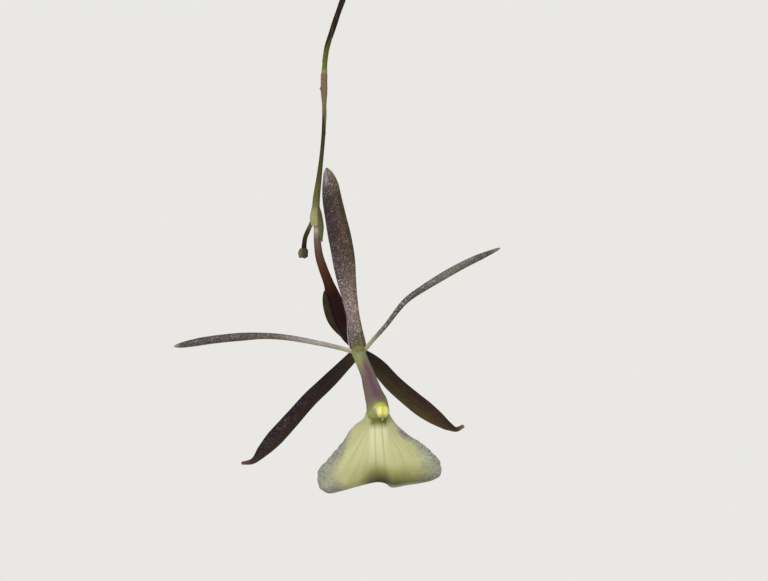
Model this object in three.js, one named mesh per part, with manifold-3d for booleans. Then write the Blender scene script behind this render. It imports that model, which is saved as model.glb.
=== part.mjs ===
// A potted Epidendrum orchid: a clay pot of bark chips, a creeping rhizome with fleshy roots, cane-like
// leafy stems, and from the tallest stem a wiry flower stalk that arches over and hangs one open bloom.
// Millimetres, +Z up, the bloom faces -Y. The origin is the centre of the pot's underside.

import * as THREE from "three";
import { mergeVertices } from "three/addons/utils/BufferGeometryUtils.js";
import Module from "manifold-3d";

const wasm = await Module();
wasm.setup();

// Driving dimensions.
const CLEARANCE = 0.3; // between the plant, the bark and the pot
const BLOOM_CLEARANCE = 0.2; // between the small pieces of the bloom
const BLADE = 0.6; // thickness of a sepal, petal or bract
const LEAF_THICKNESS = 0.9;

const POT_HEIGHT = 92;
const POT_FLOOR = 7;
const RIM_RADIUS = 51.5;
const BASE_RADIUS = 36.5;
const DRAIN = { count: 5, radius: 4, ring: 21 };

const BARK_TOP = 82;
const CHIP_COUNT = 42;
const CHIP_SPREAD = 41;

const RHIZOME_Z = 86;
const RHIZOME_RADIUS = 2.7;
const ROOT_RADIUS = 1.15;

const BLOOM = [-122, -30, 216]; // where the sepals, petals and column meet

const GREEN = { color: 0x55702f, roughness: 0.55 };
const materials = {
  clay: { color: 0xb4674a, roughness: 0.9 },
  bark: { color: 0x5d3d28, roughness: 0.95 },
  root: { color: 0xb9b59a, roughness: 0.8 },
  stem: GREEN,
  dry_cane: { color: 0x9a8458, roughness: 0.8 },
  stalk: { color: 0x6a5a38, roughness: 0.6 },
  bract: { color: 0xa8a860, roughness: 0.6 },
  stub: { color: 0x6f6248, roughness: 0.85 },
  ovary: { color: 0x4a2030, roughness: 0.5 },
  sepal: { color: 0x5a4148, roughness: 0.6 },
  petal: { color: 0x8a7478, roughness: 0.6 },
  column: { color: 0x86756a, roughness: 0.45 },
  anther: { color: 0xe6dd55, roughness: 0.4 },
  lip: { color: 0xd2d29c, roughness: 0.5 },
};

// Small tools.

const vec = (p) => new THREE.Vector3(...p);

const smoothCurve = (points) => new THREE.CatmullRomCurve3(points.map(vec));

// The height at x of the line through [x, height] pairs, level beyond its ends.
function profile(knots, x) {
  const next = knots.findIndex((k) => k[0] > x);
  if (next === 0) return knots[0][1];
  if (next < 0) return knots.at(-1)[1];
  const [x0, y0] = knots[next - 1];
  const [x1, y1] = knots[next];
  return y0 + ((y1 - y0) * (x - x0)) / (x1 - x0);
}

// A repeatable draw from 0 to 1 for two whole numbers.
function draw(a, b) {
  const s = Math.sin(a * 12.9898 + b * 78.233) * 43758.5453;
  return s - Math.floor(s);
}

// A closed body through equal rings of points. The second half of each ring is split the other way, so
// that the two faces of a thin blade carry the same triangles and can't cross.
function ringBody(rings) {
  const n = rings[0].length;
  const index = [];
  for (let i = 0; i + 1 < rings.length; i++)
    for (let j = 0; j < n; j++) {
      const a = i * n + j;
      const b = i * n + ((j + 1) % n);
      const c = b + n;
      const d = a + n;
      if (j < n / 2) index.push(a, b, c, a, c, d);
      else index.push(a, b, d, b, c, d);
    }
  const last = (rings.length - 1) * n;
  for (let j = 0; j + 1 < n / 2; j++) {
    const k = n - 1 - j;
    index.push(j, k, j + 1, j + 1, k, k - 1);
    index.push(last + j, last + j + 1, last + k, last + j + 1, last + k - 1, last + k);
  }
  const position = new Float32Array(rings.flat().flatMap((p) => [p.x, p.y, p.z]));
  return new THREE.BufferGeometry()
    .setAttribute("position", new THREE.BufferAttribute(position, 3))
    .setIndex(index);
}

// A manifold solid of a closed geometry, turned to face outwards.
function solid(geometry) {
  const bare = geometry.clone();
  bare.deleteAttribute("normal");
  bare.deleteAttribute("uv");
  const merged = mergeVertices(bare, 1e-4);
  const made = (triVerts) =>
    new wasm.Manifold(
      new wasm.Mesh({ numProp: 3, vertProperties: merged.attributes.position.array, triVerts }),
    );
  const first = made(new Uint32Array(merged.index.array));
  return first.volume() > 0 ? first : made(new Uint32Array(merged.index.array).reverse());
}

// The largest body of a solid: loose scraps left by a cut are dropped.
function largest(cut) {
  return cut.decompose().reduce((best, body) => (body.volume() > best.volume() ? body : best));
}

function piece(name, made, material) {
  const { vertProperties, triVerts, numProp } = made.getMesh();
  const position = new Float32Array((vertProperties.length / numProp) * 3);
  for (let i = 0; i < position.length / 3; i++)
    position.set(vertProperties.subarray(i * numProp, i * numProp + 3), i * 3);
  const geometry = new THREE.BufferGeometry()
    .setAttribute("position", new THREE.BufferAttribute(position, 3))
    .setIndex(new THREE.BufferAttribute(triVerts, 1));
  geometry.computeVertexNormals();
  const mesh = new THREE.Mesh(geometry, new THREE.MeshStandardMaterial(materials[material]));
  mesh.name = name;
  return mesh;
}

// Carries a cross-section along a curve. section(t) lists [across, out] pairs, measured from the curve
// along its side and along the way that the piece faces.
function sweep(curve, steps, face, section) {
  const rings = [];
  for (let i = 0; i <= steps; i++) {
    const t = i / steps;
    const point = curve.getPointAt(t);
    const along = curve.getTangentAt(t);
    const side = new THREE.Vector3().crossVectors(along, face).normalize();
    const out = new THREE.Vector3().crossVectors(side, along);
    rings.push(
      section(t).map(([a, b]) => point.clone().addScaledVector(side, a).addScaledVector(out, b)),
    );
  }
  return solid(ringBody(rings));
}

const FRONT = new THREE.Vector3(0, -1, 0);

// A tube whose half-widths across and outwards change along the curve.
function tube(curve, steps, sides, halfWidth, halfDepth = halfWidth, face = FRONT) {
  return sweep(curve, steps, face, (t) =>
    Array.from({ length: sides }, (_, j) => {
      const angle = (2 * Math.PI * j) / sides;
      return [halfWidth(t) * Math.cos(angle), halfDepth(t) * Math.sin(angle)];
    }),
  );
}

// A thin blade bent across its width into an arc: roll is the whole angle of that arc in degrees, and
// it is positive where the edges turn away from the side that the blade faces.
function blade({ spine, width, roll, face = FRONT, steps = 12, across = 4, thickness = BLADE }) {
  const half = THREE.MathUtils.degToRad(roll) / 2;
  return sweep(smoothCurve(spine), steps, face, (t) => {
    const radius = profile(width, t) / 2 / Math.sin(half);
    const point = (q, side) => {
      const angle = q * half;
      const r = radius + (side * thickness * (1 - 0.5 * q * q)) / 2;
      return [r * Math.sin(angle), r * Math.cos(angle) - radius];
    };
    const qs = Array.from({ length: across + 1 }, (_, k) => (2 * k) / across - 1);
    return [...qs.map((q) => point(q, 1)), ...qs.reverse().map((q) => point(q, -1))];
  });
}

// The pot: thrown clay with a collar at the rim, and a ring of drain holes round the solid centre of
// its floor.

function potSolid() {
  const outline = [
    [0, 0],
    [BASE_RADIUS - 1.5, 0],
    [BASE_RADIUS, 1.5],
    [45.5, 70],
    [48.6, 72.5],
    [49.8, 74],
    [RIM_RADIUS, POT_HEIGHT - 1.8],
    [RIM_RADIUS - 1.4, POT_HEIGHT],
    [47.6, POT_HEIGHT],
    [46.4, POT_HEIGHT - 1.6],
    [43.4, 70],
    [32.4, POT_FLOOR + 2.5],
    [30, POT_FLOOR],
    [0, POT_FLOOR],
  ].map((p) => new THREE.Vector2(...p));
  let made = solid(new THREE.LatheGeometry(outline, 48).rotateX(Math.PI / 2));
  for (let i = 0; i < DRAIN.count; i++) {
    const angle = (2 * Math.PI * (i + 0.5)) / DRAIN.count;
    const hole = new THREE.CylinderGeometry(DRAIN.radius, DRAIN.radius, POT_FLOOR * 3, 12)
      .rotateX(Math.PI / 2)
      .translate(DRAIN.ring * Math.cos(angle), DRAIN.ring * Math.sin(angle), 0);
    made = made.subtract(solid(hole));
  }
  return made;
}

// Rhizome and roots: one creeping stem that the canes stand on, with roots that leave it low down.

const RHIZOME = [
  [-25, 5, RHIZOME_Z - 2],
  [-14, 1, RHIZOME_Z],
  [0, -1, RHIZOME_Z + 0.4],
  [14, 0, RHIZOME_Z],
  [29, 3, RHIZOME_Z - 0.6],
];

// Each root: where along the rhizome it starts, its heading in degrees, and its path as [outwards, up]
// pairs from that start.
const INTO_BARK = [
  [0, 0],
  [6, 1.6],
  [13, 1.2],
  [18, -2],
  [20, -9],
];
const CREEPING = [
  [0, 0],
  [7, 0.8],
  [15, 0.9],
  [23, 0.6],
  [28, -3],
  [29.5, -9],
];
const OVER_RIM = [
  [0, 0],
  [12, 1.8],
  [27, 5],
  [38, 8.6],
  [44.5, 10.4],
  [50, 9.6],
  [52.6, 5],
  [53, -4],
  [52.6, -17],
  [50.8, -30],
];
const ROOTS = [
  { start: 0.1, heading: 205, path: INTO_BARK },
  { start: 0.18, heading: 118, path: CREEPING },
  { start: 0.3, heading: 262, path: CREEPING },
  { start: 0.42, heading: 68, path: INTO_BARK },
  { start: 0.5, heading: 292, path: OVER_RIM },
  { start: 0.62, heading: 248, path: INTO_BARK },
  { start: 0.7, heading: 82, path: CREEPING },
  { start: 0.86, heading: 318, path: INTO_BARK },
];

function rhizomeSolid(grow) {
  const curve = smoothCurve(RHIZOME);
  const thick = (t) => grow + RHIZOME_RADIUS * (t < 0.02 || t > 0.98 ? 0.75 : 1);
  return ROOTS.reduce((made, { start, heading, path }) => {
    const from = curve.getPointAt(start);
    const angle = THREE.MathUtils.degToRad(heading);
    const points = path.map(([out, up]) => [
      from.x + out * Math.cos(angle),
      from.y + out * Math.sin(angle),
      from.z + up,
    ]);
    const side = new THREE.Vector3(-Math.sin(angle), Math.cos(angle), 0);
    const steps = path.length + 6;
    const taper = (t) => grow + ROOT_RADIUS * (1 - 0.3 * t ** 4);
    return made.add(tube(smoothCurve(points), steps, 6, taper, taper, side));
  }, tube(curve, 12, 8, thick));
}

// Leafy stems: canes wrapped in tubular sheaths, each sheath ending at a joint where its leaf stands off,
// left and right by turns. Stems are given by base, bend and top points.

const STEMS = [
  {
    base: [-14, 1, RHIZOME_Z], bend: [-15, -3, 170], top: [-30, -13, 261], radius: 2.1,
    leaves: 6, leafLength: 74, leafWidth: 15, plane: 292, first: 0.36,
  },
  {
    base: [-3, -1, RHIZOME_Z], bend: [1, 3, 150], top: [8, 16, 236], radius: 2,
    leaves: 6, leafLength: 78, leafWidth: 16, plane: 62, first: 0.32,
  },
  {
    base: [8, -0.5, RHIZOME_Z], bend: [22, -10, 140], top: [39, -27, 196], radius: 1.9,
    leaves: 5, leafLength: 68, leafWidth: 15, plane: 330, first: 0.34,
  },
  {
    base: [18, 0.6, RHIZOME_Z], bend: [26, 16, 140], top: [38, 40, 182], radius: 1.9,
    leaves: 4, leafLength: 62, leafWidth: 14, plane: 75, first: 0.4,
  },
  {
    base: [26, 2.4, RHIZOME_Z], bend: [36, 3, 108], top: [45, 5, 132], radius: 1.8,
    leaves: 3, leafLength: 38, leafWidth: 11, plane: 355, first: 0.45,
  },
];
const OLD_CANE = {
  base: [-22.5, 4, RHIZOME_Z - 1.4],
  bend: [-27, 10, 128],
  top: [-38, 19, 166],
  radius: 1.7,
  joints: [0.2, 0.42, 0.64, 0.84],
};

const LEAF_WIDTH = [
  [0, 0.34],
  [0.08, 0.5],
  [0.22, 0.84],
  [0.42, 1],
  [0.62, 0.93],
  [0.8, 0.68],
  [0.92, 0.36],
  [1, 0.06],
];
const LEAF_FOLD = 24; // degrees that each half of a leaf rises from its midrib

// The cane: every sheath widens a little to its mouth, and the next one starts narrower inside it.
function caneSolid({ base, bend, top, radius }, joints, grow = 0) {
  const curve = new THREE.QuadraticBezierCurve3(vec(base), vec(bend), vec(top));
  const places = [0, 0.04, ...joints.flatMap((t) => [t - 0.006, t + 0.006]), 1];
  const rings = places.map((t, i) => {
    const mouth = i > 1 && i % 2 === 0 ? 1.16 : 0.94;
    const r = grow + radius * (i < 2 ? 1.25 : mouth) * (1 - 0.28 * t);
    const along = curve.getTangentAt(t);
    const side = new THREE.Vector3().crossVectors(along, FRONT).normalize();
    const out = new THREE.Vector3().crossVectors(side, along);
    const centre = curve.getPointAt(t);
    return Array.from({ length: 8 }, (_, j) => {
      const angle = (Math.PI * j) / 4;
      return centre
        .clone()
        .addScaledVector(side, r * Math.cos(angle))
        .addScaledVector(out, r * Math.sin(angle));
    });
  });
  return solid(ringBody(rings));
}

// A leaf leaves the cane close to its axis and arches outwards. Its angle from the cane's axis grows
// along its length, and its cross-section is a shallow V.
function leafSolid(root, axis, outwards, length, width, startAngle, endAngle) {
  const steps = 8;
  const fine = 6;
  const radians = THREE.MathUtils.degToRad;
  const angleAt = (t) => radians(startAngle + (endAngle - startAngle) * t ** 1.2);
  const side = new THREE.Vector3().crossVectors(outwards, axis).normalize();
  const point = root.clone();
  const rings = [];
  for (let i = 0; i <= steps * fine; i++) {
    const t = i / (steps * fine);
    const angle = angleAt(t);
    if (i % fine === 0) {
      const out = axis.clone().multiplyScalar(Math.sin(angle)).addScaledVector(outwards, -Math.cos(angle));
      const half = (width * profile(LEAF_WIDTH, t)) / 2;
      const fold = radians(LEAF_FOLD);
      const place = (q, face) =>
        point
          .clone()
          .addScaledVector(side, q * half * Math.cos(fold))
          .addScaledVector(out, Math.abs(q) * half * Math.sin(fold))
          .addScaledVector(out, (face * LEAF_THICKNESS * (1 - 0.4 * Math.abs(q))) / 2);
      const qs = [-1, 0, 1];
      rings.push([...qs.map((q) => place(q, 1)), ...qs.reverse().map((q) => place(q, -1))]);
    }
    point
      .addScaledVector(axis, (Math.cos(angle) * length) / steps / fine)
      .addScaledVector(outwards, (Math.sin(angle) * length) / steps / fine);
  }
  return solid(ringBody(rings));
}

function leafyStemSolid(stem, which) {
  const { leaves, leafLength, leafWidth, plane, first } = stem;
  const curve = new THREE.QuadraticBezierCurve3(vec(stem.base), vec(stem.bend), vec(stem.top));
  const leafJoints = Array.from(
    { length: leaves },
    (_, i) => first + ((0.985 - first) * i) / (leaves - 1),
  );
  const joints = [first * 0.38, first * 0.7, ...leafJoints.slice(0, -1)];
  return leafJoints.reduce((made, t, i) => {
    const axis = curve.getTangentAt(t);
    const heading = THREE.MathUtils.degToRad(plane + (i % 2 ? 180 : 0) + 16 * (draw(which, i) - 0.5));
    const outwards = new THREE.Vector3(Math.cos(heading), Math.sin(heading), 0);
    outwards.addScaledVector(axis, -outwards.dot(axis)).normalize();
    const share = i / (leaves - 1);
    const size = 0.78 + 0.3 * Math.sin(Math.PI * (0.15 + 0.75 * share));
    const opening = 26 - 8 * share + 6 * draw(i, which);
    const droop = 84 - 32 * share + 14 * draw(which + 7, i);
    const leaf = leafSolid(
      curve.getPointAt(t), axis, outwards, leafLength * size, leafWidth * size, opening, droop,
    );
    return made.add(leaf);
  }, caneSolid(stem, joints));
}

// Bark: a filled core with chips of bark lying on it at all angles.

function barkSolid() {
  const core = [
    [0, POT_FLOOR + CLEARANCE],
    [29.6, POT_FLOOR + CLEARANCE],
    [31.9, POT_FLOOR + 3],
    [42.6, 68],
    [44.2, BARK_TOP - 2],
    [0, BARK_TOP],
  ].map((p) => new THREE.Vector2(...p));
  const chips = Array.from({ length: CHIP_COUNT }, (_, i) => {
    const long = 9 + 6 * draw(i, 1);
    const wide = 6 + 4 * draw(i, 2);
    const thick = 3 + 2.4 * draw(i, 3);
    const chip = new THREE.BoxGeometry(long, wide, thick);
    const corners = chip.attributes.position;
    for (let k = 0; k < corners.count; k++) {
      const sign = (axis) => Math.sign(corners.getComponent(k, axis));
      const shrink = 0.72 + 0.28 * draw(i + 5, sign(0) + 3 * sign(1) + 9 * sign(2));
      corners.setXYZ(k, corners.getX(k) * shrink, corners.getY(k) * shrink, corners.getZ(k));
    }
    const reach = CHIP_SPREAD * Math.sqrt((i + 0.5) / CHIP_COUNT);
    const angle = i * 2.39996;
    return solid(
      chip
        .rotateX(0.5 * (draw(i, 4) - 0.5))
        .rotateY(0.6 * (draw(i, 5) - 0.5))
        .rotateZ(2 * Math.PI * draw(i, 6))
        .translate(reach * Math.cos(angle), reach * Math.sin(angle), BARK_TOP + 0.4 + 1.6 * draw(i, 7)),
    );
  });
  const inside = [
    [0, 0],
    [31.9, 0],
    [31.9, POT_FLOOR + 3],
    [42.6, 68],
    [46, POT_HEIGHT],
    [0, POT_HEIGHT],
  ].map((p) => new THREE.Vector2(...p));
  const room = solid(new THREE.LatheGeometry(inside, 48).rotateX(Math.PI / 2));
  const heap = solid(new THREE.LatheGeometry(core, 32).rotateX(Math.PI / 2));
  const filled = wasm.Manifold.union([heap, ...chips]);
  return largest(filled.intersect(room).subtract(rhizomeSolid(CLEARANCE)));
}

// The flower stalk, from the top of the tallest stem over its arch and down to the bloom. The first
// points are in the plant's frame, and those from the picture's top edge down are set from the bloom.

const fromBloom = (p) => p.map((v, i) => v + BLOOM[i]);

const STALK = [
  [-30.1, -13.1, 261.6],
  [-31.2, -13.6, 266.5],
  [-38, -15, 282],
  [-51.5, -17.6, 304],
  [-72, -20, 317],
  [-93, -21.4, 310],
  [-109, -22, 292],
  [-118, -22, 274],
  ...[
    [-1.9, 8.4, 42],
    [-3.4, 8, 37.4],
    [-4.05, 7.6, 33.5],
    [-4.05, 7, 28],
    [-4.1, 6.8, 25.4],
    [-4.55, 6.6, 21.4],
    [-4.95, 6.4, 18.5],
    [-5.12, 6.3, 16.6],
  ].map(fromBloom),
];

// Half-width of the stalk by distance back from its tip: the swellings are the sheaths round its joints.
const STALK_RADIUS = [
  [0, 0.42],
  [1.5, 0.42],
  [4, 0.34],
  [8, 0.3],
  [11, 0.3],
  [14, 0.4],
  [16, 0.44],
  [17.6, 0.36],
  [20, 0.34],
  [22, 0.4],
  [25, 0.34],
  [44, 0.4],
  [45, 0.34],
  [72, 0.46],
  [73, 0.36],
  [102, 0.5],
  [103, 0.4],
  [134, 0.56],
  [135, 0.44],
  [170, 0.62],
  [171, 0.5],
  [230, 0.75],
];

function stalkSolid() {
  const curve = smoothCurve(STALK);
  const length = curve.getLength();
  return tube(curve, 66, 6, (t) => profile(STALK_RADIUS, length * (1 - t)));
}

// The bloom, in its own frame: the origin is where its parts meet.

const PEDICEL = {
  spine: [
    [-5.05, 6.2, 15.3],
    [-5, 6.25, 13.4],
    [-4.7, 6.2, 11],
    [-3.95, 6, 8.7],
    [-3.25, 5.5, 6.6],
    [-2.6, 4.9, 4.7],
    [-1.8, 4, 3],
    [-0.85, 2.9, 1.4],
    [-0.05, 1.85, 0.3],
  ],
  width: [
    [0, 0.38],
    [0.12, 0.42],
    [0.26, 0.42],
    [0.4, 0.46],
    [0.52, 0.7],
    [0.62, 1.05],
    [0.76, 1.14],
    [0.9, 0.92],
    [1, 0.78],
  ],
  crest: [
    [-3.7, 5.5, 7.3],
    [-3.75, 5.1, 6.1],
    [-3.55, 4.6, 4.9],
    [-3.05, 3.9, 3.4],
    [-2.3, 3.2, 2.2],
    [-1.45, 2.4, 1.2],
  ],
};

const COLUMN = {
  spine: [
    [0.05, -0.35, 0.15],
    [0.5, -1, -1.3],
    [1.26, -2.1, -3.2],
    [1.75, -3, -4.6],
    [2.25, -4, -6.1],
    [2.42, -4.6, -7.3],
    [2.45, -5, -8.6],
  ],
  width: [
    [0, 0.84],
    [0.2, 0.87],
    [0.4, 0.9],
    [0.6, 1.12],
    [0.78, 1.42],
    [0.9, 1.44],
    [0.96, 1.25],
    [1, 0.85],
  ],
  depth: [
    [0, 0.6],
    [0.4, 0.75],
    [0.8, 1.15],
    [1, 0.8],
  ],
};

const ANTHER = { centre: [2.95, -5.85, -7.45], width: 0.77, depth: 0.62, height: 0.78 };

const DORSAL_SEPAL = {
  spine: [
    [0.05, 0.5, 0.5],
    [-0.45, 0.4, 3.6],
    [-1, 0.2, 6.9],
    [-1.65, 0, 10.9],
    [-2.4, -0.1, 14.8],
    [-3.1, 0.1, 18.5],
    [-3.8, 0.6, 21.9],
  ],
  width: [
    [0, 1.6],
    [0.2, 1.5],
    [0.28, 1.6],
    [0.4, 2.25],
    [0.5, 2.55],
    [0.6, 2.62],
    [0.72, 2.45],
    [0.86, 2.15],
    [0.93, 1.55],
    [1, 0.3],
  ],
  roll: 110,
};

const PETAL_LEFT = {
  spine: [
    [-1.02, 0.2, -0.1],
    [-5.2, -0.5, 0.85],
    [-11.2, -0.9, 1.65],
    [-17.2, -0.6, 1.3],
    [-22.1, 0.3, 0.45],
  ],
  width: [
    [0, 0.5],
    [0.2, 0.58],
    [0.5, 0.7],
    [0.65, 0.92],
    [0.85, 0.9],
    [0.94, 0.7],
    [1, 0.3],
  ],
  roll: 90,
};

const PETAL_RIGHT = {
  spine: [
    [1.02, 0.25, 0.25],
    [3.2, -0.2, 2.9],
    [5.6, -0.3, 5.9],
    [7.9, -0.2, 7.6],
    [12.7, 0.3, 10.4],
    [17.1, 1.2, 12.3],
  ],
  width: [
    [0, 0.5],
    [0.3, 0.54],
    [0.45, 0.7],
    [0.65, 0.86],
    [0.85, 0.8],
    [0.94, 0.6],
    [1, 0.3],
  ],
  roll: 90,
};

const LATERAL_SEPAL_LEFT = {
  spine: [
    [-0.95, 1.3, -0.95],
    [-3.5, 3, -3.8],
    [-5.85, 4.6, -6.05],
    [-8, 6, -8.35],
    [-10, 7.4, -10.55],
    [-11.55, 8.4, -12.3],
    [-12.9, 9.2, -13.75],
    [-14.3, 9.8, -13.95],
  ],
  width: [
    [0, 1.3],
    [0.2, 1.65],
    [0.45, 1.8],
    [0.7, 2],
    [0.82, 1.6],
    [0.91, 0.7],
    [1, 0.32],
  ],
  roll: 80,
  face: new THREE.Vector3(0.3, -1, 0.1),
};

const LATERAL_SEPAL_RIGHT = {
  spine: [
    [1.05, 1.3, -0.9],
    [2.35, 2.9, -1.95],
    [4.2, 5, -4],
    [6.15, 7.2, -5.75],
    [8.05, 9.3, -7.3],
    [9.8, 11.2, -8.6],
    [11.1, 12.6, -9.5],
    [12.05, 13.6, -9.95],
    [12.9, 14.2, -9.6],
  ],
  width: [
    [0, 1.3],
    [0.2, 1.95],
    [0.42, 2.15],
    [0.6, 2.2],
    [0.72, 1.9],
    [0.85, 1.1],
    [0.93, 0.5],
    [1, 0.32],
  ],
  roll: 80,
  face: new THREE.Vector3(-0.3, -1, 0.1),
};

// The lip is a patch between four edges, drawn as seen from the front: its two sides run from the
// column's end out to the lobes, and its lower edge runs from lobe to lobe with a shallow notch.
const LIP_LEFT = [
  [0.95, -7.9],
  [0.5, -8.6],
  [-0.65, -9.25],
  [-1.6, -10.8],
  [-2.8, -12.1],
  [-4.15, -13.6],
  [-4.8, -15.1],
  [-4.35, -16.7],
];
const LIP_RIGHT = [
  [3.75, -7.75],
  [4.35, -8.6],
  [5.3, -9.5],
  [6.3, -10.35],
  [7.5, -10.9],
  [8.85, -11.9],
  [9.8, -13.35],
  [10.05, -14.1],
  [9.65, -15.3],
];
const LIP_LOWER = [
  [-4.35, -16.7],
  [-3.4, -17.2],
  [-2, -16.9],
  [-0.35, -16.5],
  [1.4, -16.1],
  [2.4, -15.95],
  [3.3, -16.1],
  [4, -16.5],
  [5.8, -16.25],
  [7.5, -15.95],
  [8.8, -15.65],
  [9.65, -15.3],
];
// Three keels run straight down the lip's middle from the column's end.
const KEEL_BAND = 1.15; // from the middle of the three to their outer foot
const KEEL_HEIGHT = 0.25;

function edgeOf(points) {
  return smoothCurve(points.map(([x, z]) => [x, 0, z]));
}

// Depth of the lip's mid-surface: it bellies forward down the middle, and its lower edge and lobes
// turn back.
function lipDepth(u, v) {
  const side = (2 * u - 1) ** 2;
  const belly = 2 * Math.sin(Math.PI * (0.02 + 0.8 * v)) - v ** 4;
  return -4.5 - belly * (1 - side) - 0.4 * side * Math.sin(Math.PI * v);
}

function lipSolid() {
  const [left, right, lower] = [LIP_LEFT, LIP_RIGHT, LIP_LOWER].map(edgeOf);
  const throat = (u) => new THREE.Vector3().lerpVectors(left.getPointAt(0), right.getPointAt(0), u);
  const corners = [left.getPointAt(0), right.getPointAt(0), left.getPointAt(1), right.getPointAt(1)];
  const sides = [0, 0.22, 0.44, 0.64, 0.83];
  const crests = [-1, -0.67, -0.34, 0, 0.34, 0.67, 1];
  const rows = 10;
  const surface = (u, v, face, keel) => {
    const p = throat(u).multiplyScalar(1 - v).addScaledVector(lower.getPointAt(u), v);
    p.addScaledVector(left.getPointAt(v), 1 - u).addScaledVector(right.getPointAt(v), u);
    corners.forEach((corner, i) => p.addScaledVector(corner, -(i % 2 ? u : 1 - u) * (i > 1 ? v : 1 - v)));
    const rim = Math.min(1, 5 * Math.min(u, 1 - u, 1 - v) + 0.4);
    p.y = lipDepth(u, v) - (face * BLADE * rim) / 2 - (face > 0 ? keel : 0);
    return p;
  };
  const rings = Array.from({ length: rows + 1 }, (_, i) => {
    const v = i / rows;
    const band = KEEL_BAND / (right.getPointAt(v).x - left.getPointAt(v).x);
    const height = KEEL_HEIGHT * Math.min(1, 2.2 * (1 - v));
    const columns = [
      ...sides.map((s) => [s * (0.5 - band), 0]),
      ...crests.map((s, k) => [0.5 + s * band, k % 2 ? height : 0]),
      ...sides.toReversed().map((s) => [1 - s * (0.5 - band), 0]),
    ];
    return [
      ...columns.map(([u, keel]) => surface(u, v, 1, keel)),
      ...columns.toReversed().map(([u]) => surface(u, v, -1, 0)),
    ];
  });
  return solid(ringBody(rings));
}

function columnSolid(grow) {
  const width = (t) => grow + profile(COLUMN.width, t);
  const depth = (t) => grow + profile(COLUMN.depth, t);
  return tube(smoothCurve(COLUMN.spine), 14, 12, width, depth);
}

function antherSolid(grow) {
  const { centre, width, depth, height } = ANTHER;
  const ball = new THREE.SphereGeometry(1, 14, 9);
  const points = ball.attributes.position;
  for (let i = 0; i < points.count; i++) {
    const x = points.getX(i);
    const groove = points.getZ(i) > 0 && !grow ? 1 - 0.22 * Math.max(0, 1 - Math.abs(x) / 0.35) : 1;
    points.setZ(i, points.getZ(i) * groove);
  }
  // The ball's own Z becomes the way to the front.
  return solid(
    ball
      .scale(width + grow, height + grow, depth + grow)
      .rotateX(Math.PI / 2 + 0.35)
      .translate(...centre),
  );
}

// The stalk of the bloom swells into the ovary, which carries a crest on the side away from the sepal.
function pedicelSolid(grow) {
  const width = (t) => grow + profile(PEDICEL.width, t);
  const crestWidth = (t) => grow + 0.2 + 0.35 * Math.sin(Math.PI * Math.min(1, t + 0.1));
  return tube(smoothCurve(PEDICEL.spine), 18, 10, width)
    .add(tube(smoothCurve(PEDICEL.crest), 8, 6, crestWidth));
}

const UPPER_BRACT = {
  spine: [
    [-4.48, 5.6, 17.1],
    [-4.42, 5.58, 15.6],
    [-4.37, 5.57, 14.2],
    [-4.37, 5.6, 12.9],
  ],
  width: [
    [0, 0.5],
    [0.5, 0.75],
    [0.8, 0.5],
    [1, 0.25],
  ],
  roll: 60,
  face: new THREE.Vector3(0.65, -0.76, 0),
  steps: 5,
};
const LOWER_BRACT = {
  spine: [
    [-5.3, 5.45, 17.2],
    [-5.42, 5.3, 15.9],
    [-5.5, 5.25, 14.8],
    [-5.4, 5.3, 13.9],
  ],
  width: [
    [0, 0.6],
    [0.5, 0.85],
    [0.8, 0.6],
    [1, 0.3],
  ],
  roll: 70,
  steps: 5,
};

function stubSolid() {
  const stalk = smoothCurve([
    [-5.75, 6.2, 15.5],
    [-6.1, 6.2, 14.6],
    [-6.45, 6.1, 13.4],
    [-6.55, 6, 11.9],
  ]);
  const knob = new THREE.IcosahedronGeometry(0.6, 1).scale(1.04, 0.95, 0.96).translate(-6.57, 6, 11.5);
  return tube(stalk, 6, 6, () => 0.3).add(solid(knob));
}

// Assembly. Each group has its own frame, as the plant is put together.

const plant = new THREE.Group();
plant.add(piece("rhizome_roots", rhizomeSolid(0), "root"));
const bed = rhizomeSolid(CLEARANCE);
STEMS.forEach((stem, i) => {
  plant.add(piece(`leafy_stem_${i + 1}`, largest(leafyStemSolid(stem, i + 1).subtract(bed)), "stem"));
});
plant.add(piece("old_cane", largest(caneSolid(OLD_CANE, OLD_CANE.joints).subtract(bed)), "dry_cane"));
plant.add(piece("peduncle", stalkSolid(), "stalk"));

const bloom = new THREE.Group();
bloom.position.set(...BLOOM);
const column = columnSolid(0).subtract(antherSolid(BLOOM_CLEARANCE));
const keepOut = wasm.Manifold.union([
  columnSolid(BLOOM_CLEARANCE),
  pedicelSolid(BLOOM_CLEARANCE),
  antherSolid(BLOOM_CLEARANCE),
]);
bloom.add(
  piece("pedicel_ovary", pedicelSolid(0), "ovary"),
  piece("column", largest(column), "column"),
  piece("anther_cap", antherSolid(0), "anther"),
);
for (const [name, spec, material] of [
  ["dorsal_sepal", DORSAL_SEPAL, "sepal"],
  ["lateral_sepal_left", LATERAL_SEPAL_LEFT, "sepal"],
  ["lateral_sepal_right", LATERAL_SEPAL_RIGHT, "sepal"],
  ["petal_left", PETAL_LEFT, "petal"],
  ["petal_right", PETAL_RIGHT, "petal"],
  ["floral_bract_upper", UPPER_BRACT, "bract"],
  ["floral_bract_lower", LOWER_BRACT, "bract"],
])
  bloom.add(piece(name, largest(blade(spec).subtract(keepOut)), material));
bloom.add(
  piece("lip", largest(lipSolid().subtract(keepOut)), "lip"),
  piece("spent_flower_stub", stubSolid(), "stub"),
);

const pottedOrchid = new THREE.Group();
pottedOrchid.add(piece("pot", potSolid(), "clay"), piece("bark_medium", barkSolid(), "bark"), plant, bloom);

export default pottedOrchid;
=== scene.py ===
"""A potted Epidendrum with one hanging bloom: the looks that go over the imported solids.

Lengths are in millimetres in the part's frame, and each mesh is made in metres at the origin.
"""

from functools import partial

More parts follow.
